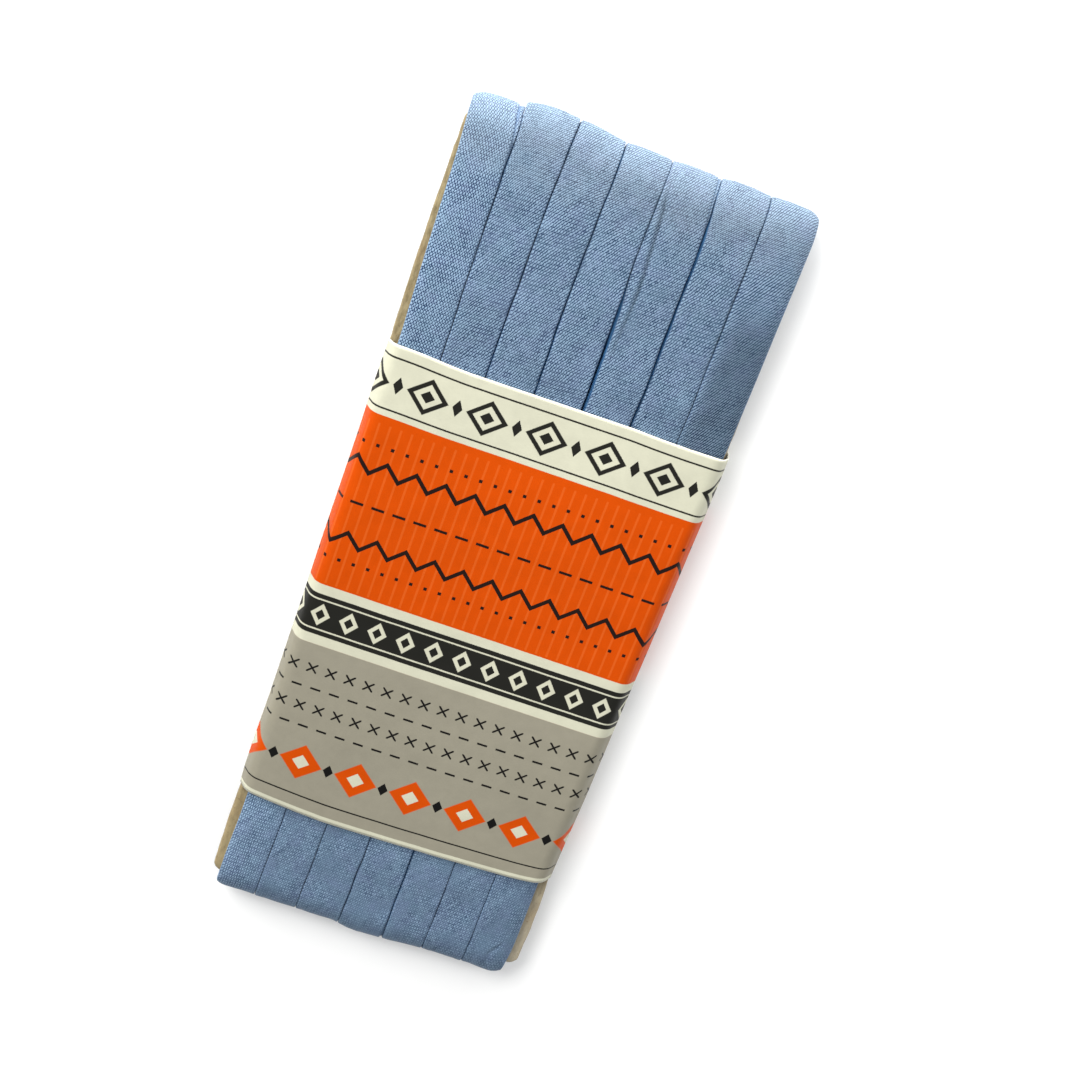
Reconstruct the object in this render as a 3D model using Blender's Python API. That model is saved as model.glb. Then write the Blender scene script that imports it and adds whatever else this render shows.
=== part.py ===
"""Card of double-fold bias tape.

A flat board is wound lengthwise with three layers of folded cotton tape, seven
turns side by side, and a paper band is wrapped round the middle.

Frame: the card lies on its back. +X runs across it to the right, +Y towards its
top end, +Z is up, out of its front face. The origin is under the middle of the
card, on the surface that it rests on. Sizes are in millimetres until they are
scaled at the end of the file.
"""
import math

import bmesh
import bpy

MM = 0.001

# ---------------------------------------------------------------- driving sizes
MID_Z = 2.95              # height of the board's middle plane over the surface
CLEAR = 0.30              # gap left between neighbouring pieces

BOARD_T = 0.60            # thickness of the board
BOARD_TOP = 62.80         # its two ends
BOARD_LOW = -63.60
BOARD_CORNER = 1.6        # radius of its corners

TURNS = 7                 # turns of tape side by side
WOUND_HALF = 2.60         # half thickness of the wound tape where it lies free
PRESSED_HALF = 2.30       # and where the band presses it
FOLD_R = 2.60             # radius of the fold over each end of the board
EDGE_DROP = 1.55          # how far the outermost edges are rounded down
SEAM_DROP = 0.42          # depth of the groove between two turns

BAND_T = 0.35             # thickness of the band
BAND_TOP = 29.05
BAND_LOW = -47.25
BAND_HALF_W = 25.20       # half width over the band's two side edges
BAND_SIDE_H = 1.15        # half height of those side edges

# Long edges of the board: it was cut slightly out of square.
#         y     left   right
BOARD = ((-63.60, -24.55, 24.55),
         (29.00, -24.55, 24.50),
         (62.80, -24.50, 24.05))

# Where the edges of the turns lie on the front, at three heights (y).
EDGE_ROWS = (-57.0, 31.0, 61.5)
#               lower    middle   top
TURN_EDGES = ((-23.35, -23.55, -23.95),
              (-17.20, -17.40, -17.60),
              (-10.60, -10.85, -10.70),
              (-3.65, -3.85, -3.90),
              (3.40, 3.15, 2.55),
              (9.90, 10.10, 9.55),
              (16.45, 16.85, 16.55),
              (22.40, 24.05, 23.85))

# How far each turn reaches past the ends, and how proud its crown stands.
#          top end  low end  crown
TURN_ROWS = ((65.25, -65.80, 0.00),
             (66.40, -65.70, 0.00),
             (65.90, -65.75, 0.00),
             (65.35, -66.40, -0.05),
             (65.15, -66.05, 0.00),
             (65.30, -65.85, 0.00),
             (65.10, -65.90, -0.03))

# Half thickness of the winding along the front and the back.
#        y      half thickness
BODY = ((-60.5, WOUND_HALF),
        (-55.5, WOUND_HALF),
        (-50.5, 2.50),
        (-47.9, PRESSED_HALF),
        (-30.0, PRESSED_HALF),
        (-10.0, PRESSED_HALF),
        (10.0, PRESSED_HALF),
        (29.7, PRESSED_HALF),
        (33.0, 2.48),
        (42.0, 2.57),
        (52.0, WOUND_HALF),
        (60.5, WOUND_HALF))

# Section of one turn: share of its width, and drop below its crown as a share
# of the groove's depth.
#            across  drop
TURN_SECTION = ((0.00, 1.00),
                (0.08, 0.30),
                (0.30, 0.00),
                (0.70, 0.00),
                (0.92, 0.30),
                (1.00, 1.00))

# Section of the band: where its flat front and back end, at three heights.
#        y       left   right
BAND = ((BAND_LOW, -22.75, 21.60),
        (-10.0, -22.75, 22.40),
        (BAND_TOP, -22.75, 22.95))

FOLD_STEPS = 8            # facets round each end fold


# ---------------------------------------------------------------- small helpers
def between(a, b, t):
    return a + (b - a) * t


def look_up(rows, y, column):
    """Value of a column at height y, on straight lines between the rows."""
    if y <= rows[0][0]:
        return rows[0][column]
    for low, high in zip(rows, rows[1:]):
        if y <= high[0]:
            return between(low[column], high[column], (y - low[0]) / (high[0] - low[0]))
    return rows[-1][column]


def turn_edge(k, y):
    """x of the k-th edge between turns on the front."""
    rows = tuple((row_y, TURN_EDGES[k][i]) for i, row_y in enumerate(EDGE_ROWS))
    return look_up(rows, y, 1)


def make_object(name, bm, colour, roughness):
    bmesh.ops.remove_doubles(bm, verts=bm.verts, dist=1e-4)
    bmesh.ops.recalc_face_normals(bm, faces=bm.faces)
    bmesh.ops.triangulate(bm, faces=bm.faces)
    bmesh.ops.scale(bm, vec=(MM, MM, MM), verts=bm.verts)
    mesh = bpy.data.meshes.new(name)
    bm.to_mesh(mesh)
    bm.free()
    material = bpy.data.materials.new(name + "_material")
    material.use_nodes = True
    shader = material.node_tree.nodes["Principled BSDF"]
    shader.inputs["Base Color"].default_value = (*colour, 1.0)
    shader.inputs["Roughness"].default_value = roughness
    shader.inputs["Metallic"].default_value = 0.0
    mesh.materials.append(material)
    obj = bpy.data.objects.new(name, mesh)
    bpy.context.scene.collection.objects.link(obj)
    return obj


def add_face(bm, corners):
    """A face through these corners, leaving out corners that coincide."""
    kept = []
    for corner in corners:
        if corner not in kept:
            kept.append(corner)
    if len(kept) > 2:
        bm.faces.new(kept)


class Points:
    """Makes each vertex once, however many patches share it."""

    def __init__(self, bm):
        self.bm = bm
        self.made = {}

    def __call__(self, point):
        key = tuple(round(c, 4) for c in point)
        if key not in self.made:
            self.made[key] = self.bm.verts.new(point)
        return self.made[key]


# ---------------------------------------------------------------- the board
def build_board():
    """A thin board with rounded corners, its long edges from the table."""
    outline = []
    corners = ((2, BOARD_TOP, 0.0, 1.0, 1.0), (1, BOARD_TOP, 90.0, -1.0, 1.0),
               (1, BOARD_LOW, 180.0, -1.0, -1.0), (2, BOARD_LOW, 270.0, 1.0, -1.0))
    for column, y_end, start, side_x, side_y in corners:
        x_end = look_up(BOARD, y_end, column)
        cx = x_end - side_x * BOARD_CORNER
        cy = y_end - side_y * BOARD_CORNER
        for step in range(4):
            a = math.radians(start + 30.0 * step)
            outline.append((cx + BOARD_CORNER * math.cos(a), cy + BOARD_CORNER * math.sin(a)))
        if column == 1 and side_y > 0:      # down the left side
            outline.append((look_up(BOARD, BOARD[1][0], 1), BOARD[1][0]))
        if column == 2 and side_y < 0:      # up the right side
            outline.append((look_up(BOARD, BOARD[1][0], 2), BOARD[1][0]))
    bm = bmesh.new()
    face = bm.faces.new([bm.verts.new((x, y, MID_Z - BOARD_T / 2)) for x, y in outline])
    grown = bmesh.ops.extrude_face_region(bm, geom=[face])
    top = [v for v in grown["geom"] if isinstance(v, bmesh.types.BMVert)]
    bmesh.ops.translate(bm, vec=(0, 0, BOARD_T), verts=top)
    return make_object("card", bm, (0.47, 0.38, 0.24), 0.85)


# ---------------------------------------------------------------- the winding
def drop_at(k, count):
    """How deep the groove on the k-th edge of a row of turns is."""
    return EDGE_DROP if k in (0, count) else SEAM_DROP


def turn_section(xa, xb, drop_a, drop_b, sink):
    """(x, drop) points across one turn that lies between the edges xa and xb.

    A turn that runs out to nothing under its neighbour loses its crown with
    its width, down to the drop of the edge that it runs into.
    """
    full = min(1.0, abs(xb - xa) / 3.0)
    points = []
    for u, share in TURN_SECTION:
        edge_drop = drop_a if u < 0.5 else drop_b
        crowned = edge_drop * share + sink * (1.0 - share)
        flat = between(drop_a, drop_b, u)
        points.append((between(xa, xb, u), between(flat, crowned, full)))
    return points


def front_turns(y):
    """The seven turns across the front at height y."""
    turns = []
    for k in range(TURNS):
        section = turn_section(turn_edge(k, y), turn_edge(k + 1, y),
                               drop_at(k, TURNS), drop_at(k + 1, TURNS),
                               -TURN_ROWS[k][2])
        turns.append(section)
    return turns


def back_turns(s):
    """The turns across the back, at the share s of the way up.

    The tape moves over by one turn while it climbs the back, so a turn that
    leaves the low end in place k reaches the top end in place k + 1. The last
    turn of the layer beneath shows as a wedge at the left edge, and the tail
    of the tape as a wedge at the right edge.
    """
    low, top = EDGE_ROWS[0], EDGE_ROWS[-1]
    edges = [between(turn_edge(0, low), turn_edge(0, top), s)]
    edges += [between(turn_edge(k - 1, low), turn_edge(k, top), s)
              for k in range(1, TURNS + 1)]
    edges.append(between(turn_edge(TURNS, low), turn_edge(TURNS, top), s))
    drops = [SEAM_DROP] * len(edges)
    drops[0] = drops[-1] = EDGE_DROP
    drops[1] = between(EDGE_DROP, SEAM_DROP, min(1.0, (edges[1] - edges[0]) / 3.0))
    drops[-2] = between(EDGE_DROP, SEAM_DROP, min(1.0, (edges[-1] - edges[-2]) / 3.0))
    turns = []
    for k in range(TURNS + 1):
        lower = -TURN_ROWS[min(k, TURNS - 1)][2] if 0 < s < 1 else 0.0
        if k == 0:
            lower = 0.30 * (1.0 - s ** 4)
        if k == TURNS:
            lower = 0.30 * max(0.0, min(1.0, (s - 0.2) / 0.2))
        turns.append(turn_section(edges[k], edges[k + 1], drops[k], drops[k + 1], lower))
    return turns


def end_reach(k, u, column):
    """How far the winding reaches past an end, at the share u across turn k.

    On the edge between two turns both take the mean of the two.
    """
    here = TURN_ROWS[k][column]
    if u == 0 and k > 0:
        return 0.5 * (here + TURN_ROWS[k - 1][column])
    if u == 1 and k < TURNS - 1:
        return 0.5 * (here + TURN_ROWS[k + 1][column])
    return here


def fold_station(angle, top):
    """The turns at one angle of the fold, 0 on the front and pi on the back."""
    column, sign = (0, 1.0) if top else (1, -1.0)
    y_row = EDGE_ROWS[-1] if top else EDGE_ROWS[0]
    station = []
    for k, section in enumerate(front_turns(y_row)):
        points = []
        for (x, drop), (u, _) in zip(section, TURN_SECTION):
            centre = end_reach(k, u, column) - sign * FOLD_R
            r = FOLD_R - drop
            points.append((x, centre + sign * r * math.sin(angle),
                           MID_Z + r * math.cos(angle)))
        station.append(points)
    return station


def inner_point(x, y_centre, angle, sign):
    r = BOARD_T / 2 + CLEAR
    return (x, y_centre + sign * r * math.sin(angle), MID_Z + r * math.cos(angle))


def build_winding():
    """One solid: seven turns of tape, three layers thick, open at the sides."""
    bm = bmesh.new()
    vert = Points(bm)
    half_in = BOARD_T / 2 + CLEAR

    # Each station is (turns, inner left, inner right).
    def with_inner(turns, place):
        return turns, place(turns[0][0][0]), place(turns[-1][-1][0])

    folds = {}
    for top in (False, True):
        sign, centre = (1.0, BOARD_TOP) if top else (-1.0, BOARD_LOW)
        folds[top] = []
        for step in range(FOLD_STEPS + 1):
            a = math.pi * step / FOLD_STEPS
            folds[top].append(with_inner(
                fold_station(a, top),
                lambda x, a=a, sign=sign, centre=centre: inner_point(x, centre, a, sign)))

    front = []
    for y, half in BODY:
        turns = [[(x, y, MID_Z + half - drop) for x, drop in section]
                 for section in front_turns(y)]
        front.append(with_inner(turns, lambda x, y=y: (x, y, MID_Z + half_in)))

    y_low = EDGE_ROWS[0] - 6.0
    y_top = EDGE_ROWS[-1] + 1.5
    back = []
    for y, half in BODY:
        s = (y - y_low) / (y_top - y_low)
        turns = [[(x, y, MID_Z - half + drop) for x, drop in section]
                 for section in back_turns(s)]
        back.append(with_inner(turns, lambda x, y=y: (x, y, MID_Z - half_in)))

    # Up the front: low fold from the back round to the front, the front, and
    # the top fold round to the back.
    up_front = list(reversed(folds[False])) + front + folds[True]
    # Down the back the turns have moved over by one, so a turn that has run
    # out is a single point on the edge.
    low_turns, low_in_a, low_in_b = folds[False][-1]
    top_turns, top_in_a, top_in_b = folds[True][-1]
    low_station = ([[low_turns[0][0]] * len(TURN_SECTION)] + low_turns, low_in_a, low_in_b)
    top_station = (top_turns + [[top_turns[-1][-1]] * len(TURN_SECTION)], top_in_a, top_in_b)
    up_back = [low_station] + back + [top_station]

    for stations in (up_front, up_back):
        for a, b in zip(stations, stations[1:]):
            for turn_a, turn_b in zip(a[0], b[0]):
                for i in range(len(TURN_SECTION) - 1):
                    add_face(bm, [vert(turn_a[i]), vert(turn_a[i + 1]),
                                  vert(turn_b[i + 1]), vert(turn_b[i])])
            # the two side walls and the face towards the board
            add_face(bm, [vert(a[0][0][0]), vert(b[0][0][0]), vert(b[1]), vert(a[1])])
            add_face(bm, [vert(a[0][-1][-1]), vert(b[0][-1][-1]), vert(b[2]), vert(a[2])])
            add_face(bm, [vert(a[1]), vert(b[1]), vert(b[2]), vert(a[2])])
    return make_object("tape_winding", bm, (0.18, 0.28, 0.50), 0.9)


# ---------------------------------------------------------------- the band
def band_section(y, grow):
    """The band's section at height y, its inner face moved out by grow."""
    left = look_up(BAND, y, 1)
    right = look_up(BAND, y, 2)
    half_h = PRESSED_HALF + CLEAR + grow
    half_w = BAND_HALF_W - BAND_T + grow
    side_h = BAND_SIDE_H + 0.4 * grow
    fold = 0.35 * grow
    upper = [(right + fold, half_h), (half_w, side_h), (half_w, -side_h), (right + fold, -half_h),
             (left - fold, -half_h), (-half_w, -side_h), (-half_w, side_h), (left - fold, half_h)]
    return [(x, y, MID_Z + z) for x, z in upper]


def build_band():
    """A closed paper sleeve: flat front and back, sloping to thin side edges."""
    bm = bmesh.new()
    rings = []
    for y, _, _ in BAND:
        inner = [bm.verts.new(p) for p in band_section(y, 0.0)]
        outer = [bm.verts.new(p) for p in band_section(y, BAND_T)]
        rings.append((inner, outer))
    count = len(rings[0][0])
    for (in_a, out_a), (in_b, out_b) in zip(rings, rings[1:]):
        for i in range(count):
            j = (i + 1) % count
            bm.faces.new([out_a[i], out_a[j], out_b[j], out_b[i]])
            bm.faces.new([in_a[i], in_a[j], in_b[j], in_b[i]])
    for inner, outer in (rings[0], rings[-1]):
        for i in range(count):
            j = (i + 1) % count
            bm.faces.new([inner[i], inner[j], outer[j], outer[i]])
    return make_object("paper_band", bm, (0.78, 0.16, 0.02), 0.4)


def main():
    for obj in list(bpy.data.objects):
        bpy.data.objects.remove(obj, do_unlink=True)
    build_board()
    build_winding()
    build_band()


main()
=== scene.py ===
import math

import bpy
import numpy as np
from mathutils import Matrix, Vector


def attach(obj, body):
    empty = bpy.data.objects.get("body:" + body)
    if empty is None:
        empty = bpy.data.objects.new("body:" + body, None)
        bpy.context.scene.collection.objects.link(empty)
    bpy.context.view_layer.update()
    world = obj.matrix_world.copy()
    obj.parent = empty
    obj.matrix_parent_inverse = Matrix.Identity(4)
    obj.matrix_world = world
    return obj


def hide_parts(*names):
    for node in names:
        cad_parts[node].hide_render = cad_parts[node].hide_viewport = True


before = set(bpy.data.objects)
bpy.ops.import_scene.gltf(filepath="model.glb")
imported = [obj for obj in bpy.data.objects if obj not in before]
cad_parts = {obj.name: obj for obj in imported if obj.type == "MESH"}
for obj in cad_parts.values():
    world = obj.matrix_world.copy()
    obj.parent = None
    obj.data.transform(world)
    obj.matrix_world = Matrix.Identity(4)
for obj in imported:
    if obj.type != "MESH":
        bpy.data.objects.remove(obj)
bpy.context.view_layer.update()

# Card of double-fold bias tape: the looks.
#
# board   a thin chipboard card, worn at its edges and corners
# tape    one ribbon of folded cotton, wound twenty-one times round the board in
#         three layers of seven turns, with its true double-fold section
# band    a printed paper strip wrapped round the middle, its ends overlapping
#         on the back
#
# Frame: the card lies on its back, +X to the right, +Y to its top end, +Z out
# of its front. Sizes below are in millimetres; heights called "out" are
# measured from the board's middle plane, on the front and on the back alike.

MM = 0.001
MID_Z = 2.95              # height of the board's middle plane
PLACES = 7                # turns side by side
LAYERS = 3

# ------------------------------------------------------------------ the camera
CAMERA_AT = (-22.1464, 133.7390, 271.2082)
CAMERA_RIGHT = (0.9429301621, 0.3274285322, -0.0606074722)
CAMERA_DOWN = (0.3207555673, -0.8442288080, 0.4294107424)
CAMERA_AHEAD = (0.0894347551, -0.4243445251, -0.9010733314)


def make_camera():
    data = bpy.data.cameras.new("camera")
    data.sensor_width = 36.0
    data.lens = 70.0
    data.clip_start = 0.01
    data.clip_end = 20.0
    camera = bpy.data.objects.new("camera", data)
    bpy.context.scene.collection.objects.link(camera)
    right, down, ahead = (Vector(v) for v in (CAMERA_RIGHT, CAMERA_DOWN, CAMERA_AHEAD))
    turn = Matrix((right, -down, -ahead)).transposed().to_4x4()
    camera.matrix_world = Matrix.Translation(Vector(CAMERA_AT) * MM) @ turn
    bpy.context.scene.camera = camera


make_camera()


# ------------------------------------------------------------------ small tools
def smoothstep(t):
    t = np.clip(t, 0.0, 1.0)
    return t * t * (3.0 - 2.0 * t)


def lerp(a, b, t):
    return a + (b - a) * t


GRID = np.arange(-70.0, 70.01, 0.25)


def curve(rows, soft=1.2):
    """A smooth curve through rows of (y, value)."""
    rows = sorted(rows)
    flat = np.interp(GRID, [r[0] for r in rows], [r[1] for r in rows])
    reach = np.arange(-24, 25) * 0.25
    weight = np.exp(-0.5 * (reach / soft) ** 2)
    weight /= weight.sum()
    smooth = np.convolve(np.pad(flat, 24, mode="edge"), weight, mode="valid")
    return lambda y: np.interp(y, GRID, smooth)


def waves(seed, count, shortest, longest):
    """Smooth unevenness over a plane, about -1 to 1, from a sum of waves."""
    rng = np.random.default_rng(seed)
    length = shortest * (longest / shortest) ** rng.random(count)
    heading = rng.uniform(0.0, 2.0 * math.pi, count)
    phase = rng.uniform(0.0, 2.0 * math.pi, count)
    size = length ** 0.5
    size *= 1.6 / math.sqrt((size ** 2).sum())
    kx = 2.0 * math.pi / length * np.cos(heading)
    ky = 2.0 * math.pi / length * np.sin(heading)

    def at(x, y):
        total = 0.0
        for i in range(count):
            total = total + size[i] * np.sin(kx[i] * x + ky[i] * y + phase[i])
        return total

    return at


def mesh_object(name, points, faces, smooth=True):
    """An object from an array of points in millimetres and lists of corners."""
    mesh = bpy.data.meshes.new(name)
    mesh.from_pydata((np.asarray(points, float) * MM).tolist(), [], faces)
    mesh.validate()
    mesh.update()
    if smooth:
        mesh.shade_smooth()
    obj = bpy.data.objects.new(name, mesh)
    bpy.context.scene.collection.objects.link(obj)
    return obj


def add_uv(mesh, name, values):
    """A UV map from one pair of numbers for each vertex."""
    layer = mesh.uv_layers.new(name=name)
    corner = np.zeros(len(mesh.loops), np.int32)
    mesh.loops.foreach_get("vertex_index", corner)
    layer.data.foreach_set("uv", np.asarray(values, np.float32)[corner].ravel())


def add_float(mesh, name, values):
    attribute = mesh.attributes.new(name, "FLOAT", "POINT")
    attribute.data.foreach_set("value", np.asarray(values, np.float32).ravel())


# ------------------------------------------------------------ material building
class Socket:
    """An output of a shader node, with arithmetic that makes Math nodes."""

    def __init__(self, tree, out):
        self.tree, self.out = tree, out

    def _math(self, operation, *others, clamp=False):
        node = self.tree.nodes.new("ShaderNodeMath")
        node.operation = operation
        node.use_clamp = clamp
        for i, value in enumerate((self,) + others):
            if isinstance(value, Socket):
                self.tree.links.new(value.out, node.inputs[i])
            else:
                node.inputs[i].default_value = float(value)
        return Socket(self.tree, node.outputs[0])

    def __add__(self, o): return self._math("ADD", o)
    def __radd__(self, o): return self._math("ADD", o)
    def __sub__(self, o): return self._math("SUBTRACT", o)
    def __rsub__(self, o): return (self * -1.0) + o
    def __mul__(self, o): return self._math("MULTIPLY", o)
    def __rmul__(self, o): return self._math("MULTIPLY", o)
    def __truediv__(self, o): return self._math("DIVIDE", o)
    def clamp(self): return self._math("ADD", 0.0, clamp=True)
    def power(self, o): return self._math("POWER", o)
    def abs(self): return self._math("ABSOLUTE")
    def sin(self): return self._math("SINE")
    def cos(self): return self._math("COSINE")
    def floor(self): return self._math("FLOOR")
    def fract(self): return self._math("FRACT")
    def min(self, o): return self._math("MINIMUM", o)
    def max(self, o): return self._math("MAXIMUM", o)
    def over(self, o): return self._math("GREATER_THAN", o)
    def under(self, o): return self._math("LESS_THAN", o)

    def ramp(self, low, high):
        """0 at low and below, 1 at high and above, smooth between them."""
        node = self.tree.nodes.new("ShaderNodeMapRange")
        node.interpolation_type = "SMOOTHSTEP"
        self.tree.links.new(self.out, node.inputs["Value"])
        node.inputs["From Min"].default_value = low
        node.inputs["From Max"].default_value = high
        return Socket(self.tree, node.outputs["Result"])


class Builder:
    """Makes one material's nodes."""

    def __init__(self, name):
        self.material = bpy.data.materials.new(name)
        self.material.use_nodes = True
        self.tree = self.material.node_tree
        self.shader = next(n for n in self.tree.nodes if n.type == "BSDF_PRINCIPLED")

    def uv(self, name):
        node = self.tree.nodes.new("ShaderNodeUVMap")
        node.uv_map = name
        return self.split(node.outputs["UV"])

    def split(self, out):
        node = self.tree.nodes.new("ShaderNodeSeparateXYZ")
        self.tree.links.new(out, node.inputs[0])
        return [Socket(self.tree, node.outputs[i]) for i in range(3)]

    def attribute(self, name):
        node = self.tree.nodes.new("ShaderNodeAttribute")
        node.attribute_name = name
        return Socket(self.tree, node.outputs["Fac"])

    def place(self):
        """The point in the object's own frame, in millimetres."""
        node = self.tree.nodes.new("ShaderNodeTexCoord")
        x, y, z = self.split(node.outputs["Object"])
        return x * 1000.0, y * 1000.0, z * 1000.0

    def noise(self, x, y, z=0.0, scale=1.0, detail=2.0, roughness=0.5):
        join = self.tree.nodes.new("ShaderNodeCombineXYZ")
        for i, value in enumerate((x, y, z)):
            if isinstance(value, Socket):
                self.tree.links.new(value.out, join.inputs[i])
            else:
                join.inputs[i].default_value = float(value)
        node = self.tree.nodes.new("ShaderNodeTexNoise")
        self.tree.links.new(join.outputs[0], node.inputs["Vector"])
        node.inputs["Scale"].default_value = scale
        node.inputs["Detail"].default_value = detail
        node.inputs["Roughness"].default_value = roughness
        return Socket(self.tree, node.outputs[0])

    def mix(self, share, a, b):
        """Colour a where share is 0 and colour b where it is 1."""
        node = self.tree.nodes.new("ShaderNodeMix")
        node.data_type = "RGBA"
        for i, value in ((0, share), (6, a), (7, b)):
            if isinstance(value, Socket):
                self.tree.links.new(value.out, node.inputs[i])
            elif i == 0:
                node.inputs[0].default_value = float(value)
            else:
                node.inputs[i].default_value = (*value, 1.0)
        return Socket(self.tree, node.outputs[2])

    def shade(self, colour, factor):
        """A colour made lighter or darker by a factor."""
        node = self.tree.nodes.new("ShaderNodeVectorMath")
        node.operation = "SCALE"
        self.tree.links.new(colour.out, node.inputs[0])
        self.tree.links.new(factor.out, node.inputs["Scale"])
        return Socket(self.tree, node.outputs[0])

    def bump(self, height, distance, strength=1.0, before=None):
        node = self.tree.nodes.new("ShaderNodeBump")
        node.inputs["Strength"].default_value = strength
        node.inputs["Distance"].default_value = distance * MM
        self.tree.links.new(height.out, node.inputs["Height"])
        if before is not None:
            self.tree.links.new(before.out, node.inputs["Normal"])
        return Socket(self.tree, node.outputs[0])

    def finish(self, colour=None, roughness=None, normal=None, **fixed):
        for socket, value in (("Base Color", colour), ("Roughness", roughness), ("Normal", normal)):
            if isinstance(value, Socket):
                self.tree.links.new(value.out, self.shader.inputs[socket])
            elif value is not None:
                self.shader.inputs[socket].default_value = value
        for socket, value in fixed.items():
            self.shader.inputs[socket.replace("_", " ")].default_value = value
        return self.material


# ------------------------------------------------------------------- the board
BOARD_T = 0.60
BOARD_TOP = 62.80
BOARD_LOW = -63.60
#                 y     left    right
BOARD_EDGES = ((-63.60, -24.72, 25.04),
               (-60.00, -24.76, 25.10),
               (-56.00, -24.78, 25.08),
               (-52.50, -24.82, 25.00),
               (-49.70, -24.78, 24.90),
               (-47.00, -24.66, 24.62),
               (-44.00, -24.58, 24.48),
               (0.00, -24.58, 24.56),
               (26.00, -24.58, 24.34),
               (31.00, -24.74, 24.28),
               (36.00, -24.86, 24.20),
               (50.00, -24.86, 23.93),
               (62.80, -24.64, 23.70))


def build_board():
    """A card with rounded, slightly soft corners and uneven cut edges."""
    left = curve([(r[0], r[1]) for r in BOARD_EDGES], 1.3)
    right = curve([(r[0], r[2]) for r in BOARD_EDGES], 1.3)
    wear = waves(31, 18, 1.2, 14.0)
    radius = 1.5
    outline = []
    corners = ((1, 1), (-1, 1), (-1, -1), (1, -1))
    for n, (sx, sy) in enumerate(corners):
        y_end = BOARD_TOP if sy > 0 else BOARD_LOW
        edge = right if sx > 0 else left
        cy = y_end - sy * radius
        cx = float(edge(y_end)) - sx * radius
        start = math.radians((0, 90, 180, 270)[n])
        for step in range(9):
            a = start + math.radians(90.0 * step / 8)
            outline.append((cx + radius * math.cos(a), cy + radius * math.sin(a)))
        nx_sx, nx_sy = corners[(n + 1) % 4]
        nx_y_end = BOARD_TOP if nx_sy > 0 else BOARD_LOW
        nx_edge = right if nx_sx > 0 else left
        if nx_sy == sy:      # along a short end
            x0, x1 = cx, float(nx_edge(nx_y_end)) - nx_sx * radius
            for t in np.linspace(0, 1, 26)[1:-1]:
                outline.append((lerp(x0, x1, t), y_end))
        else:                # along a long side
            y0, y1 = cy, nx_y_end - nx_sy * radius
            for t in np.linspace(0, 1, 90)[1:-1]:
                y = lerp(y0, y1, t)
                outline.append((float(edge(y)), y))
    outline = np.array(outline)
    ahead = np.roll(outline, -1, 0) - np.roll(outline, 1, 0)
    normal = np.stack([ahead[:, 1], -ahead[:, 0]], 1)
    normal /= np.linalg.norm(normal, axis=1)[:, None]
    outline += normal * (0.022 * wear(outline[:, 0] * 1.7, outline[:, 1] * 1.7)
                         - 0.03)[:, None]
    # rings from the middle of the front face, over the edge, to the back face
    half = BOARD_T / 2
    #        inset   height
    rings = ((9.0, half), (1.25, half), (0.7, half + 0.004), (0.16, half - 0.012), (0.03, half - 0.09),
             (0.0, half - 0.2), (0.028, 0.02), (0.0, -half + 0.2),
             (0.03, -half + 0.09), (0.16, -half + 0.012), (0.7, -half - 0.004), (1.25, -half), (9.0, -half))
    lift = waves(32, 14, 3.0, 30.0)
    frayed = waves(33, 20, 0.7, 4.0)
    points, edge_share = [], []
    count = len(outline)
    for inset, height in rings:
        ring = outline - normal * inset
        if inset > 5:        # the inner ring is the outline made smaller, so it doesn't cross itself in the corners
            ring = outline * np.array([0.63, 0.86])
        z = height + 0.012 * lift(ring[:, 0], ring[:, 1])
        rough = 0.018 * frayed(ring[:, 0] * 2, ring[:, 1] * 2 + 9 * height) * (inset < 0.5)
        ring = ring - normal * np.abs(rough)[:, None]
        points += [(x, y, MID_Z + h) for (x, y), h in zip(ring, z)]
        edge_share += [1.0 if inset < 0.1 else (0.5 if inset < 0.5 else 0.0)] * count
    faces = []
    for i in range(len(rings) - 1):
        for j in range(count):
            k = (j + 1) % count
            faces.append((i * count + j, (i + 1) * count + j, (i + 1) * count + k, i * count + k))
    faces.append(tuple(range(count)))
    faces.append(tuple(reversed(range((len(rings) - 1) * count, len(rings) * count))))
    board = mesh_object("board", points, faces)
    add_float(board.data, "cut_edge", edge_share)
    return board


# -------------------------------------------------------------------- the tape
CLOTH_T = 0.165           # thickness of the cloth itself
PLY_OUT = 0.272           # middle of the outer plies, out from the tape's middle
PLY_IN = 0.093            # middle of the turned-in plies
TAPE_HALF = PLY_OUT + CLOTH_T / 2
SMALL_R = (PLY_OUT - PLY_IN) / 2   # fold of a turned-in edge
MAIN_X = 0.20             # how far the pressed main fold rounds, across the tape
RAW_INSET = 0.60          # where the turned-in edges end, from the main fold

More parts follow.
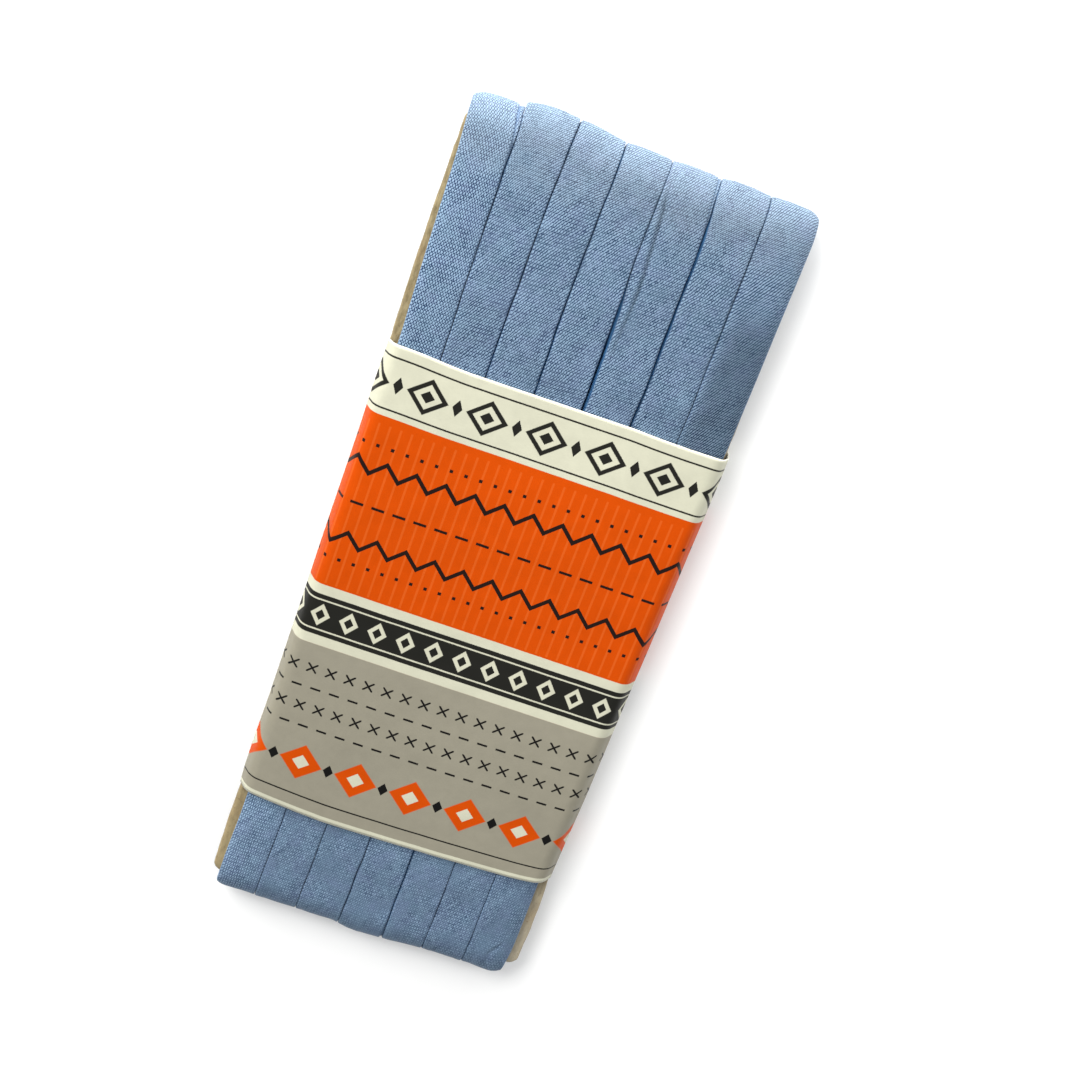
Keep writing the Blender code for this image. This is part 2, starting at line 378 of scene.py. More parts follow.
# Joints between turns on the front: y, middle of the dark line, width of the
# gap, and how far the under leaf of the turn to its left shows beside it.
SEAMS = (
    ((66.2, -17.75, 0.02, 0.95), (64.0, -17.66, 0.03, 0.75), (61.9, -17.56, 0.08, 0.42), (59.0, -17.62, 0.18, 0.18),
     (56.0, -17.66, 0.17, 0.06), (53.0, -17.65, 0.10, 0.05), (50.0, -17.63, 0.11, 0.05), (47.0, -17.60, 0.07, 0.04),
     (44.0, -17.59, 0.05, 0.04), (41.0, -17.57, 0.04, 0.04), (38.0, -17.50, 0.10, 0.05), (34.5, -17.41, 0.06, 0.04),
     (31.0, -17.38, 0.07, 0.04), (0.0, -17.20, 0.06, 0.04), (-49.3, -16.99, 0.03, 0.03), (-54.0, -17.10, 0.03, 0.03),
     (-58.5, -17.24, 0.03, 0.03), (-66.0, -17.30, 0.03, 0.03)),
    ((66.2, -10.25, 0.08, 0.04), (62.0, -10.67, 0.14, 0.05), (59.0, -10.72, 0.08, 0.04), (56.0, -10.79, 0.12, 0.05),
     (53.0, -10.83, 0.11, 0.05), (50.0, -10.85, 0.07, 0.05), (47.0, -10.85, 0.11, 0.05), (44.0, -10.86, 0.14, 0.05),
     (41.0, -10.86, 0.13, 0.05), (38.0, -10.87, 0.12, 0.05), (35.0, -10.87, 0.18, 0.05), (31.0, -10.84, 0.16, 0.05),
     (-50.0, -10.45, 0.03, 0.03), (-56.0, -10.56, 0.03, 0.03), (-60.7, -10.65, 0.03, 0.03), (-66.0, -10.70, 0.03, 0.03)),
    ((66.2, -3.80, 0.09, 0.04), (62.0, -3.86, 0.17, 0.04), (59.0, -3.92, 0.15, 0.05), (56.0, -3.99, 0.11, 0.05),
     (53.0, -4.03, 0.12, 0.05), (50.0, -4.06, 0.16, 0.05), (47.0, -4.08, 0.15, 0.05), (44.0, -4.08, 0.15, 0.05),
     (41.0, -4.04, 0.20, 0.05), (38.0, -4.00, 0.25, 0.05), (35.0, -3.92, 0.22, 0.05), (31.0, -3.83, 0.23, 0.05),
     (-50.0, -3.54, 0.07, 0.04), (-53.0, -3.58, 0.10, 0.04), (-56.0, -3.62, 0.13, 0.05), (-59.0, -3.66, 0.14, 0.05),
     (-62.0, -3.68, 0.08, 0.04), (-66.0, -3.70, 0.04, 0.04)),
    ((66.2, 2.60, 0.03, 0.03), (62.0, 2.57, 0.03, 0.03), (59.0, 2.57, 0.09, 0.04), (56.0, 2.47, 0.05, 0.04),
     (53.0, 2.44, 0.07, 0.04), (50.0, 2.52, 0.08, 0.05), (47.0, 2.70, 0.18, 0.06), (44.5, 2.87, 0.46, 0.08),
     (41.0, 2.99, 0.55, 0.08), (38.0, 3.03, 0.54, 0.08), (35.0, 3.09, 0.55, 0.06), (31.0, 3.17, 0.55, 0.06),
     (-50.0, 3.37, 0.19, 0.05), (-53.0, 3.44, 0.21, 0.05), (-56.0, 3.42, 0.19, 0.05), (-59.0, 3.48, 0.11, 0.08),
     (-61.0, 3.53, 0.08, 0.14), (-63.5, 3.58, 0.08, 0.30), (-66.0, 3.60, 0.06, 0.32)),
    ((66.2, 9.45, 0.06, 0.40), (63.5, 9.48, 0.08, 0.42), (61.9, 9.58, 0.14, 0.38), (59.6, 9.76, 0.20, 0.26),
     (58.2, 9.86, 0.37, 0.10), (56.0, 10.00, 0.39, 0.06), (53.0, 10.02, 0.36, 0.06), (50.0, 9.98, 0.31, 0.06),
     (47.0, 10.02, 0.26, 0.05), (44.0, 10.05, 0.40, 0.06), (41.0, 10.08, 0.38, 0.06), (38.0, 10.14, 0.34, 0.06),
     (35.0, 10.20, 0.31, 0.05), (31.0, 10.07, 0.30, 0.05), (-48.8, 9.87, 0.03, 0.03), (-54.0, 9.90, 0.03, 0.03),
     (-60.2, 9.94, 0.04, 0.04), (-66.0, 9.95, 0.04, 0.03)),
    ((66.2, 16.40, 0.06, 0.04), (61.8, 16.54, 0.07, 0.04), (59.0, 16.57, 0.10, 0.04), (56.0, 16.60, 0.07, 0.04),
     (52.0, 16.64, 0.04, 0.04), (48.0, 16.70, 0.07, 0.04), (45.0, 16.77, 0.10, 0.04), (41.0, 16.82, 0.04, 0.04),
     (38.0, 16.85, 0.04, 0.04), (34.6, 16.88, 0.06, 0.04), (31.0, 16.85, 0.03, 0.04), (-48.6, 16.40, 0.03, 0.03),
     (-53.0, 16.44, 0.07, 0.03), (-56.0, 16.47, 0.04, 0.03), (-60.0, 16.50, 0.04, 0.03), (-66.0, 16.50, 0.03, 0.03)),
)
# Outer edges of the wound tape: y, x.
LEFT_EDGE = ((66.0, -24.50), (63.5, -24.42), (61.0, -24.30), (57.0, -24.10), (49.0, -23.94), (42.5, -23.81), (35.8, -23.59), (31.4, -23.45),
             (0.0, -23.3), (-48.2, -23.15), (-52.8, -23.21), (-57.6, -23.40), (-66.0, -23.5))
RIGHT_EDGE = ((66.0, 23.60), (62.8, 23.84), (50.0, 23.92), (40.0, 24.02), (30.3, 24.06), (0.0, 23.6),
              (-40.0, 23.3), (-48.0, 23.22), (-55.0, 23.42), (-60.0, 23.52), (-63.0, 23.35), (-66.0, 23.30))
# How far each turn of the outer layer reaches past the top end: x, reach.
TOP_REACH = (
    ((-24.4, 65.05), (-22.6, 65.34), (-20.8, 65.50), (-19.2, 65.46), (-17.9, 65.34), (-17.4, 65.50)),
    ((-17.6, 65.84), (-16.6, 66.26), (-15.0, 66.48), (-12.6, 66.53), (-10.9, 66.26)),
    ((-10.6, 66.10), (-9.4, 66.14), (-7.8, 66.01), (-5.4, 65.69), (-4.0, 65.42)),
    ((-3.8, 65.34), (-2.4, 65.48), (-0.6, 65.43), (1.8, 65.26), (2.6, 65.10)),
    ((2.7, 65.10), (4.2, 65.31), (6.6, 65.29), (9.5, 65.12)),
    ((9.7, 65.16), (11.5, 65.49), (13.9, 65.43), (16.4, 65.14)),
    ((16.6, 65.14), (18.8, 65.28), (20.7, 65.24), (22.7, 65.16), (24.0, 64.97)),
)
# And past the low end.
LOW_REACH = ((-24.0, 65.82), (-8.3, 65.82), (-4.4, 65.84), (-3.2, 66.20), (-0.5, 66.48), (3.4, 66.38), (7.3, 66.02),
             (11.2, 65.86), (15.1, 65.84), (19.1, 65.88), (21.0, 66.02), (24.0, 65.95))

FOLD_MIDDLE = {True: 62.55, False: -63.35}     # middle of the inner folds, at the two ends
FOLD_FLOOR = (0.33, 0.965, 1.80)      # inner side of each layer where it goes over an end
FLAT_FLOOR = (0.33, 1.105, 1.885)     # and on the flat of the card
FOLD_THICK = (0.88, 0.88, 1.0)        # the inner layers are pulled tight there
FOLD_LONG = 2.1                       # the outer fold is this much longer than it is thick
CROWN = 1.082                         # and the middle of the front stands this much higher
LAYER_STEP = 0.775
BAND_SPAN = (-47.25, 29.05)
PRESSED = 0.948                       # the band presses the winding to this share

seam_mid = [curve([(r[0], r[1] + 0.13) for r in rows]) for rows in SEAMS]
seam_wide = [curve([(r[0], r[2]) for r in rows], 0.8) for rows in SEAMS]
seam_strip = [curve([(r[0], r[3]) for r in rows], 1.0) for rows in SEAMS]
left_edge = curve(LEFT_EDGE)
right_edge = curve(RIGHT_EDGE)
top_reach = [curve(rows, 0.45) for rows in TOP_REACH]
low_reach = curve(LOW_REACH, 0.6)
ROUND = FOLD_FLOOR[2] + 2 * TAPE_HALF     # outer radius of the outer layer at an end


def end_middle(place, x, top):
    """The middle of the outer layer's fold at one end, along the card."""
    back = ROUND + FOLD_LONG
    return top_reach[place](x) - back if top else back - low_reach(x)


def crown(y):
    """The front stands highest in the middle and comes down towards both ends."""
    return lerp(CROWN, 1.0, smoothstep((np.abs(y + 0.4) - 44.0) / 21.0))


seam_stray = [waves(60 + i, 10, 1.6, 9.0) for i in range(6)]
swell = waves(7, 34, 5.0, 26.0)
ripple = waves(8, 40, 1.6, 5.0)
back_swell = waves(9, 34, 5.0, 26.0)


def front_edges(layer, place, y):
    """Left edge, right edge of the upper leaf and of the under leaf."""
    shift = (0.35, -0.25, 0.0)[layer]
    inset = (0.75, 0.42, 0.0)[layer]
    if place == 0:
        left = left_edge(y) + inset
    else:
        left = seam_mid[place - 1](y) + 0.5 * seam_wide[place - 1](y) + shift
        left = left + 0.014 * seam_stray[place - 1](y, 80.0)
    if place == PLACES - 1:
        under = right_edge(y) - inset
        right = under - 0.12
    else:
        under = seam_mid[place](y) - 0.5 * seam_wide[place](y) + shift + 0.014 * seam_stray[place](y, 80.0)
        right = under - seam_strip[place](y) + 0.010 * seam_stray[place](y, 40.0)
    return left, right, under


def back_edges(layer, place, to_place, share):
    """The same for a run up the back that moves over from place to to_place."""
    low = front_edges(layer, place, np.array(-62.6))
    top = front_edges(layer, min(to_place, PLACES - 1), np.array(61.8))
    return tuple(lerp(a, b, share) for a, b in zip(low, top))


BACK_LOW, BACK_TOP = -62.9, 62.2
START_Y = 16.0            # where the inner end lies, on the back
TAIL_Y = -35.0            # where the outer end lies, under the band


def back_share(y):
    return np.clip((y - BACK_LOW) / (BACK_TOP - BACK_LOW), 0.0, 1.0)


def cover(x, low, high):
    half = 0.38
    return smoothstep((x - low + half) / (2 * half)) * smoothstep((high + half - x) / (2 * half))


EDGE_LOW = [float(left_edge(-62.6))] + [float(s(-62.6)) for s in seam_mid] + [float(right_edge(-62.6))]
EDGE_TOP = [float(left_edge(61.8))] + [float(s(61.8)) for s in seam_mid] + [float(right_edge(61.8))]


def back_pile(x, y):
    """How much of each group of runs lies at a point of the back, from the board out."""
    s = back_share(y)

    def sides(a_low, a_top, b_low, b_top, out_a=0.0, out_b=0.0):
        return cover(x, lerp(a_low, a_top, s) - out_a, lerp(b_low, b_top, s) + out_b)

    lo, hi, e = EDGE_LOW, EDGE_TOP, 0.5
    start = sides(lo[0], hi[0], lo[1], hi[1], e) * smoothstep((y - START_Y + 0.6) / 1.2)
    first = sides(lo[0], hi[1], lo[6], hi[7], e, e)
    turn_a = sides(lo[6], hi[6], lo[7], hi[7], 0.0, e)
    second = sides(lo[1], hi[0], lo[7], hi[6], e, e)
    turn_b = sides(lo[0], hi[0], lo[1], hi[1], e)
    third = sides(lo[0], hi[1], lo[6], hi[7], e, e)
    tail = sides(lo[6], hi[6], lo[7], hi[7], 0.0, e) * smoothstep((TAIL_Y + 0.6 - y) / 1.2)
    third = np.maximum(third, tail)
    return [start, first, turn_a, second, turn_b, third]


def edge_fall(x, left, right, layer):
    """How far the tape is drawn down towards the outer edges of the winding."""
    reach_r, deep_r = (1.6, 1.9, 2.1)[layer], (0.06, 0.40, 0.74)[layer]
    reach_l, deep_l = (1.0, 1.2, 1.5)[layer], (0.05, 0.28, 0.46)[layer]
    fall = deep_r * np.clip((x - (right - reach_r)) / reach_r, 0, 1.1) ** 2.2
    return fall + deep_l * np.clip(((left + reach_l) - x) / reach_l, 0, 1.1) ** 2.2


slump = curve(((-66.0, 0.15), (-49.0, 0.18), (-36.0, 0.25), (0.0, 0.28), (26.0, 0.38), (42.0, 0.40), (50.0, 0.24),
               (56.0, 0.15), (66.0, 0.14)), 2.0)


def slumped(x, y, z, right):
    """The last turn of each layer lies lower towards the right edge."""
    share = smoothstep((x - (right - 7.6)) / 3.0) * np.clip((x - (right - 7.6)) / 7.6, 0.0, 1.1)
    return 0.31 + (z - 0.31) * (1.0 - slump(y) * share)


def pressed(y):
    inside = smoothstep((y - BAND_SPAN[0] + 5.5) / 5.5) * smoothstep((BAND_SPAN[1] + 5.5 - y) / 5.5)
    return lerp(1.0, PRESSED, inside)


A_AT = (0.965, 0.90, 0.81, 0.70, 0.58, 0.46, 0.34, 0.23, 0.13, 0.05)
# The second crease of the fifth turn: y, how far from its left edge, strength.
CREASE = ((66.0, 0.50, 0.0), (64.0, 0.60, 0.0), (61.0, 0.80, 0.6), (58.0, 1.12, 1.0), (55.0, 1.40, 1.0), (52.5, 1.62, 1.0),
          (50.0, 1.75, 1.0), (47.0, 1.58, 1.0), (44.5, 1.28, 0.8), (42.0, 1.05, 0.5), (38.0, 0.85, 0.2), (35.0, 0.75, 0.0))
crease_at = curve([(r[0], r[1]) for r in CREASE], 0.8)
crease_depth = curve([(r[0], r[2]) for r in CREASE], 0.8)
# A short pulled crease near the low end of the last turn: a point of it and its heading.
PULL_AT, PULL_WAY = (20.4, -61.0), (0.52, 0.85)


def pull_share(t):
    return smoothstep((t + 2.9) / 1.3) * smoothstep((2.9 - t) / 1.5)


def crowd(place, y, left, width):
    """Places of the upper leaf's points across it, drawn together at a crease."""
    even = np.array(A_AT)[:, None] * np.ones(len(width))
    if place == 4:
        at, share = crease_at(y), smoothstep(crease_depth(y) / 0.25)
    elif place == 6:
        t = (y - PULL_AT[1]) / PULL_WAY[1]
        at, share = PULL_AT[0] + t * PULL_WAY[0] - left, smoothstep((3.6 - np.abs(t)) / 0.8)
    else:
        return even
    first, last = MAIN_X + CLOTH_T / 2, width - CLOTH_T / 2 - SMALL_R
    near = [(at + d - first) / (last - first) for d in (1.35, 0.72, 0.36, 0.13, -0.06, -0.28, -0.52, -0.90)]
    near = np.stack([even[0]] + near + [even[-1]])
    for i in range(1, 9):
        near[i] = np.minimum(near[i], near[i - 1] - 0.012)
    for i in range(8, 0, -1):
        near[i] = np.maximum(near[i], near[i + 1] + 0.012)
    return even * (1.0 - share) + near * share


def section(width, under, spots, raw):
    """The folded section: middle line, outward side and developed place.

    Across is measured from the main fold at the left, out from the middle of
    the tape. The cloth starts at its raw edge inside the upper leaf, runs to
    the right, folds back over itself, forms the upper leaf, rounds the main
    fold, and forms the under leaf and its turned-in edge in the same way.
    """
    n = len(width)
    rows = []                       # (across, out, normal across, normal out, shade outer, shade inner)
    # where the under leaf shows beside the upper one, its edge curls up a little
    curl = 0.25 * smoothstep((under - width - 0.10) / 0.35)

    def add(a, b, na, nb, outer, inner, lower=False):
        a = np.broadcast_to(a, n)
        b = b + (curl * smoothstep((a - width + 0.05) / 0.30) if lower else np.zeros(n))
        rows.append((a, b, np.full(n, na), np.full(n, nb), outer, inner))

    first = MAIN_X + CLOTH_T / 2
    end_a = width - CLOTH_T / 2 - SMALL_R
    end_d = under - CLOTH_T / 2 - SMALL_R
    add(raw, PLY_IN, 0, -1, 0.4, 0.4)
    add(end_a, PLY_IN, 0, -1, 0.4, 0.4)
    mid = (PLY_OUT + PLY_IN) / 2
    for angle, tone in ((-50, 0.60), (0, 0.78), (50, 0.96)):
        c, s = math.cos(math.radians(angle)), math.sin(math.radians(angle))
        add(end_a + SMALL_R * c, mid + SMALL_R * s, c, s, tone, 0.4)
    add(end_a, PLY_OUT, 0, 1, 1.0, 0.4)
    for u in spots:
        add(lerp(first, end_a, u), PLY_OUT, 0, 1, 1.0, 0.4)
    add(first, PLY_OUT, 0, 1, 1.0, 0.4)
    for angle, tone in ((120, 1.0), (150, 0.90), (180, 0.72), (210, 0.55), (240, 0.45)):
        c, s = math.cos(math.radians(angle)), math.sin(math.radians(angle))
        add(first + MAIN_X * c, PLY_OUT * s, c, s, tone, 0.4)
    add(first, -PLY_OUT, 0, -1, 0.45, 0.45)
    add(end_d, -PLY_OUT, 0, -1, 0.45, 0.45, True)
    for angle, tone in ((-50, 0.60), (0, 0.78), (50, 0.95)):
        c, s = math.cos(math.radians(angle)), math.sin(math.radians(angle))
        add(end_d + SMALL_R * c, -mid + SMALL_R * s, c, s, tone, 0.5, True)
    add(end_d, -PLY_IN, 0, 1, 1.0, 0.5, True)
    add(np.minimum(width, end_d) - 0.16, -PLY_IN, 0, 1, 0.72, 0.5, True)
    add(RAW_INSET, -PLY_IN, 0, 1, 0.45, 0.45)
    across = np.stack([r[0] for r in rows], 1)
    out = np.stack([r[1] for r in rows], 1)
    na = np.stack([r[2] for r in rows], 1)
    nb = np.stack([r[3] for r in rows], 1)
    step = np.hypot(np.diff(across, axis=1), np.diff(out, axis=1))
    along = np.concatenate([np.zeros((n, 1)), np.cumsum(step, axis=1)], 1) + raw[:, None]
    half = CLOTH_T / 2
    loop_a = np.concatenate([across + half * na, (across - half * na)[:, ::-1]], 1)
    loop_b = np.concatenate([out + half * nb, (out - half * nb)[:, ::-1]], 1)
    loop_u = np.concatenate([along, along[:, ::-1]], 1)
    tone = np.array([r[4] for r in rows] + [r[5] for r in rows][::-1])
    return loop_a, loop_b, loop_u, tone


def turn_height(place, x, left, width, y):
    """Unevenness of the outer layer on the front, in millimetres outward."""
    u = (x - left) / width
    bulge = 0.10 * (1.0 - np.abs(2 * u - 1) ** 2.6) - 0.04
    lean = (0.03, -0.02, 0.02, -0.03, 0.03, -0.02, 0.02)[place] * (u - 0.5)
    free = smoothstep((np.abs(y - (-9.1)) - 36.0) / 8.0)
    rise = 0.055 * swell(x * 1.3, y * 0.8 + 17.0 * place) + 0.014 * ripple(x, y * 0.7 + 31.0 * place)
    height = bulge + lean + free * rise - 0.02
    if place == 4:
        # a second soft crease beside the left edge, with a rolled ridge along it, fading towards the joint
        d = x - left - crease_at(y)
        height = height + crease_depth(y) * (-0.240 * np.exp(-(d / 0.23) ** 2) + 0.110 * np.exp(-((d + 0.55) / 0.30) ** 2)
                                             - 0.100 * smoothstep((-0.80 - d) / 0.45))
    if place == 6:
        # a short pulled crease near the low corner
        ax, ay = PULL_AT
        tx, ty = PULL_WAY
        t = (x - ax) * tx + (y - ay) * ty
        d = -(x - ax) * ty + (y - ay) * tx
        height = height + pull_share(t) * (-0.170 * np.exp(-(d / 0.25) ** 2) + 0.080 * np.exp(-((d - 0.50) / 0.30) ** 2))
    return height


def run_points(kind, layer, place, to_place, at, group):
    """The section's points at each station of one run.

    kind is front, back, top or low; at is the station's y, or its angle round
    an end, 0 on the front and pi on the back.
    """
    n = len(at)
    if kind == "front":
        y_eff = at
        left, right, under = front_edges(layer, place, at)
    elif kind == "back":
        y_eff = at
        left, right, under = back_edges(layer, place, to_place, back_share(at))
    else:
        top = kind == "top"
        sign = 1.0 if top else -1.0
        middle = FOLD_MIDDLE[top] if layer < 2 else y_front(top)
        y_eff = middle + sign * (1.8 if layer < 2 else 4.6) * np.sin(np.minimum(at, math.pi / 2))
        edges = front_edges(layer, place, y_eff)
        behind = front_edges(layer, place, np.full(n, 61.8 if top else -62.6))
        turned = smoothstep((at - math.pi / 2) / (math.pi / 2))
        left, right, under = (lerp(a, b, turned) for a, b in zip(edges, behind))
    left, right, under = (np.broadcast_to(v, n) for v in (left, right, under))
    spots = crowd(-1, at, left, right - left)
    raw = np.full(n, RAW_INSET)
    if layer == 2 and kind in ("front", "top", "low"):
        y_near = at if kind == "front" else np.full(n, y_front(kind == "top"))
        turned_away = 0.0 if kind == "front" else smoothstep(at / 1.4)
        spots = lerp(crowd(place, y_near, left, right - left), spots, turned_away)
        if place == 4:      # the turned-in edge stops short of the crease, which lies deeper than it would allow
            raw = lerp(lerp(raw, crease_at(y_near) + 0.95, smoothstep(crease_depth(y_near) / 0.25)), raw, turned_away)
    loop_a, loop_b, loop_u, tone = section(right - left, under - left, spots, raw)
    x = left[:, None] + loop_a
    out_b = loop_b + TAPE_HALF
    fold_floor, flat_floor = FOLD_FLOOR[layer], FLAT_FLOOR[layer]
    outer_left, outer_right = left_edge(y_eff)[:, None], right_edge(y_eff)[:, None]

    if layer == 2 and kind in ("front", "back"):
        # the flat runs meet the folds at the ends, which stand a little differently in each turn
        way = at[:, None]
        first, last = y_front(True), y_front(False)
        top_place = place if kind == "front" else min(to_place, PLACES - 1)
        meet_top = end_middle(top_place, x, True) - first
        meet_low = end_middle(place, x, False) - last
        y = way + meet_top * smoothstep((way - first + 12.0) / 12.0) + meet_low * smoothstep((last + 12.0 - way) / 12.0)
    else:
        y = np.broadcast_to(at[:, None], x.shape)

    if kind == "front":
        near = smoothstep((np.abs(y + 0.4) - 57.0) / 5.0)
        floor = lerp(flat_floor, fold_floor, near)
        z = floor + out_b * lerp(1.0, FOLD_THICK[layer], near)
        if layer == 2:
            z = fold_floor * np.ones_like(x) + out_b
            z = z * crown(y) + turn_height(place, x, left[:, None], (right - left)[:, None], y)
        z = slumped(x, y, z - edge_fall(x, outer_left, outer_right, layer), outer_right)
        z = z * pressed(y)
        return x, y, z, loop_u, tone

    if kind == "back":
        pile = back_pile(x, y)
        below = sum(pile[:group]) if group else np.zeros_like(x)
        total = sum(pile)
        squeeze = np.minimum(1.0, 3.0 / np.maximum(total, 3.0))
        floor = FLAT_FLOOR[0] + LAYER_STEP * squeeze * below
        near_top, near_low = smoothstep((y - 56.0) / 5.5), smoothstep((-56.5 - y) / 5.5)
        near = np.maximum(near_top, near_low)
        onward = layer + 1 if group in (2, 4) else layer     # the layer in which it goes over the top end
        floor = lerp(lerp(floor, fold_floor, near_low), FOLD_FLOOR[onward], near_top)
        thick = lerp(lerp(squeeze, FOLD_THICK[layer], near_low), FOLD_THICK[onward], near_top)
        z = floor + out_b * thick
        if group == 5:
            rise = 0.035 * back_swell(x * 1.2, y * 0.8 + 13.0 * place) + 0.012 * ripple(x, 200 + y * 0.7 + 31.0 * place)
            u = (x - left[:, None]) / (right - left)[:, None]
            z = z + (rise + 0.03 * (1.0 - np.abs(2 * u - 1) ** 3) - 0.03) * (1 - near)
        z = z - edge_fall(x, outer_left, outer_right, layer) * lerp(0.7, 1.0, near)
        z = slumped(x, y, z, outer_right)
        z = z * pressed(y)
        return x, y, -z, loop_u, tone

    radius = fold_floor + out_b * FOLD_THICK[layer]
    angle = at[:, None]
    longer = FOLD_LONG if layer == 2 else 0.0
    if layer == 2:
        middle = end_middle(place, x, top)
        rise = 0.03 * swell(x * 1.3, 60 + 4.0 * np.cos(angle) + 17.0 * place) \
            + 0.016 * ripple(x * 1.4, 3.0 * angle + 31.0 * place)
        radius = radius + rise * np.sin(angle) ** 2
        ends = turn_height(place, x, left[:, None], (right - left)[:, None], np.full_like(x, y_front(top)))
        radius = radius + ends * np.clip(np.cos(angle), 0, 1) ** 2
    else:
        middle = np.full_like(x, FOLD_MIDDLE[top])
    radius = radius - edge_fall(x, outer_left, outer_right, layer)
    y = middle + sign * (radius + longer) * np.sin(angle)
    height = radius * np.abs(np.cos(angle))
    if layer == 2:
        height = height * np.where(np.cos(angle) > 0.0, crown(y), 1.0)
    z = np.where(height > 0.31, slumped(x, y, height, outer_right), height) * np.sign(np.cos(angle))
    return x, y, z, loop_u, tone


def y_front(top):
    """Where the outer layer's flat runs end and its folds begin."""
    return 60.75 if top else -61.35


def stations(kind, layer):
    """Where the sections stand along a run: close together where it shows."""
    fine = layer == 2
    if kind == "front":
        if fine:
            ys = np.concatenate([np.linspace(60.7, 30.4, 47), np.linspace(24, -44, 6), np.linspace(-47.0, -61.3, 20)])
        else:
            ys = np.array([62.4, 58, 50, 38, 24, -20, -50, -58, -63.2])
        return ys
    if kind == "back":
        if fine:
            return np.concatenate([np.linspace(-61.3, -48.5, 12), np.linspace(-42, 22, 7), np.linspace(29.5, 60.7, 25)])
        return np.array([-63.2, -60, -57, -52, -44, -30, -15, 0, 15, 30, 42, 52, 57, 60, 62.4])
    count = (19 if kind == "low" else 23) if fine else 7
    return np.linspace(0.0, math.pi, count + 2)[1:-1]


def build_tape():
    """The whole ribbon, from its inner end to its outer end."""
    runs = [("back", 0, 0, 0, 0)]
    order = {0: range(PLACES), 1: range(PLACES - 1, -1, -1), 2: range(PLACES)}
    for layer in range(LAYERS):
        for place in order[layer]:
            runs.append(("top", layer, place, place, None))
            runs.append(("front", layer, place, place, None))
            runs.append(("low", layer, place, place, None))
            last = place == (0 if layer == 1 else PLACES - 1)
            if layer == 0:
                runs.append(("back", 0, place, place, 2) if last else ("back", 0, place, place + 1, 1))
            elif layer == 1:
                runs.append(("back", 1, place, place, 4) if last else ("back", 1, place, place - 1, 3))
            else:
                runs.append(("back", 2, place, place + 1, 5))
    columns = {"x": [], "y": [], "z": [], "u": []}
    layers = []                     # whether a station lies in an inner layer
    crease_painted_shade = []
    for number, (kind, layer, place, to_place, group) in enumerate(runs):
        at = stations(kind, layer)
        if kind == "top":
            at = at[::-1]
        if number == 0:
            at = np.concatenate([[START_Y], at[at > START_Y + 2]])
        if number == len(runs) - 1:
            at = np.concatenate([at[at < TAIL_Y - 2], [TAIL_Y]])
        if group == 4:      # the outer layer's folds begin a little earlier
            at = at[at < 61.0]
        x, y, z, u, tone = run_points(kind, layer, place, to_place, at, group)
        for key, value in zip("xyzu", (x, y, z, u)):
            columns[key].append(value)
        layers.append(np.full(len(at), layer < 2))
        # painted shade along the crease of the fifth turn, on its outward face
        sunk = np.zeros_like(x)
        if kind == "front" and layer == 2 and place == 4:
            off = x - front_edges(layer, place, at)[0][:, None] - crease_at(y)
            sunk = crease_depth(y) * np.exp(-(off / 0.20) ** 2) * (tone > 0.99)
        crease_painted_shade.append(sunk)
    x, y, z, u = (np.concatenate(columns[key], 0) for key in "xyzu")
    stations_made, around = x.shape
    middle = np.stack([x.mean(1), y.mean(1), z.mean(1)], 1)
    travelled = np.concatenate([[0], np.cumsum(np.linalg.norm(np.diff(middle, axis=0), axis=1))])
    points = np.stack([x, y, z + MID_Z], 2).reshape(-1, 3)
    # the weave is laid out along the outward face, which travels further round the ends
    shown = tone > 0.99
    face = np.stack([x[:, shown].mean(1), y[:, shown].mean(1), z[:, shown].mean(1)], 1)
    stride = np.linalg.norm(np.diff(face, axis=0), axis=1)
    # drawn together a little where it goes over the top end
    height_up = (face[1:, 1] + face[:-1, 1]) / 2
    stride = stride * (1.0 + 0.05 * smoothstep((height_up - 50.0) / 9.0) + 0.22 * smoothstep((height_up - 60.2) / 2.6))
    along = np.concatenate([[0], np.cumsum(stride)])
    u = u * (1.0 + 0.10 * smoothstep((face[:, 1] - 56.0) / 7.0))[:, None]
    v = np.broadcast_to(along[:, None], x.shape)
    faces = []
    base = np.arange(stations_made - 1)[:, None] * around
    here = np.arange(around)[None, :]
    after = (here + 1) % around
    quads = np.stack([base + here, base + after, base + around + after, base + around + here], 2)
    faces = quads.reshape(-1, 4).tolist()
    half = around // 2
    for start, flip in ((0, False), ((stations_made - 1) * around, True)):
        for i in range(half - 1):
            face = [start + i, start + around - 1 - i, start + around - 2 - i, start + i + 1]
            faces.append(face[::-1] if flip else face)
    tape = mesh_object("tape", points, faces)
    low = (tone <= 0.8) & (np.roll(tone, -1) <= 0.8)
    inner = np.concatenate(layers)[:-1]
    slots = np.concatenate([(low[None, :] | inner[:, None]).ravel(), np.zeros(2 * (half - 1), bool)]).astype(np.int32)
    tape.data.polygons.foreach_set("material_index", slots)
    add_uv(tape.data, "cloth", np.stack([u.ravel(), v.ravel()], 1))
    # painted shade: the open share paints the folded and turned-in faces a deeper blue, the joint depth paints the
    # inner layers and the deep sides of the joints a darker navy, and the crease share paints shade along the fifth
    # turn's crease
    add_float(tape.data, "open_share", np.tile(tone, stations_made))
    add_float(tape.data, "crease_painted_shade", np.concatenate(crease_painted_shade))
    inside = np.concatenate(layers)[:, None] * (0.35 + 0.65 * smoothstep((23.0 - np.abs(x)) / 0.8))
    add_float(tape.data, "joint_depth", np.maximum(inside, smoothstep((0.82 - tone) / 0.32)[None, :]))
    return tape, float(travelled[-1])


# -------------------------------------------------------------------- the band
PAPER_T = 0.16
FRONT_OUT = 2.78          # middle of the paper, out from the board's middle plane
BACK_OUT = 2.825
OVERLAP = 6.5             # the ends overlap this far each side of the middle, on the back
SIDE_OUT = 0.46
#                y      left     right   of the folds between face and side
BAND_FOLDS = ((-47.25, -23.60, 23.30),
              (-10.0, -23.60, 23.50),
              (29.05, -23.70, 23.75))
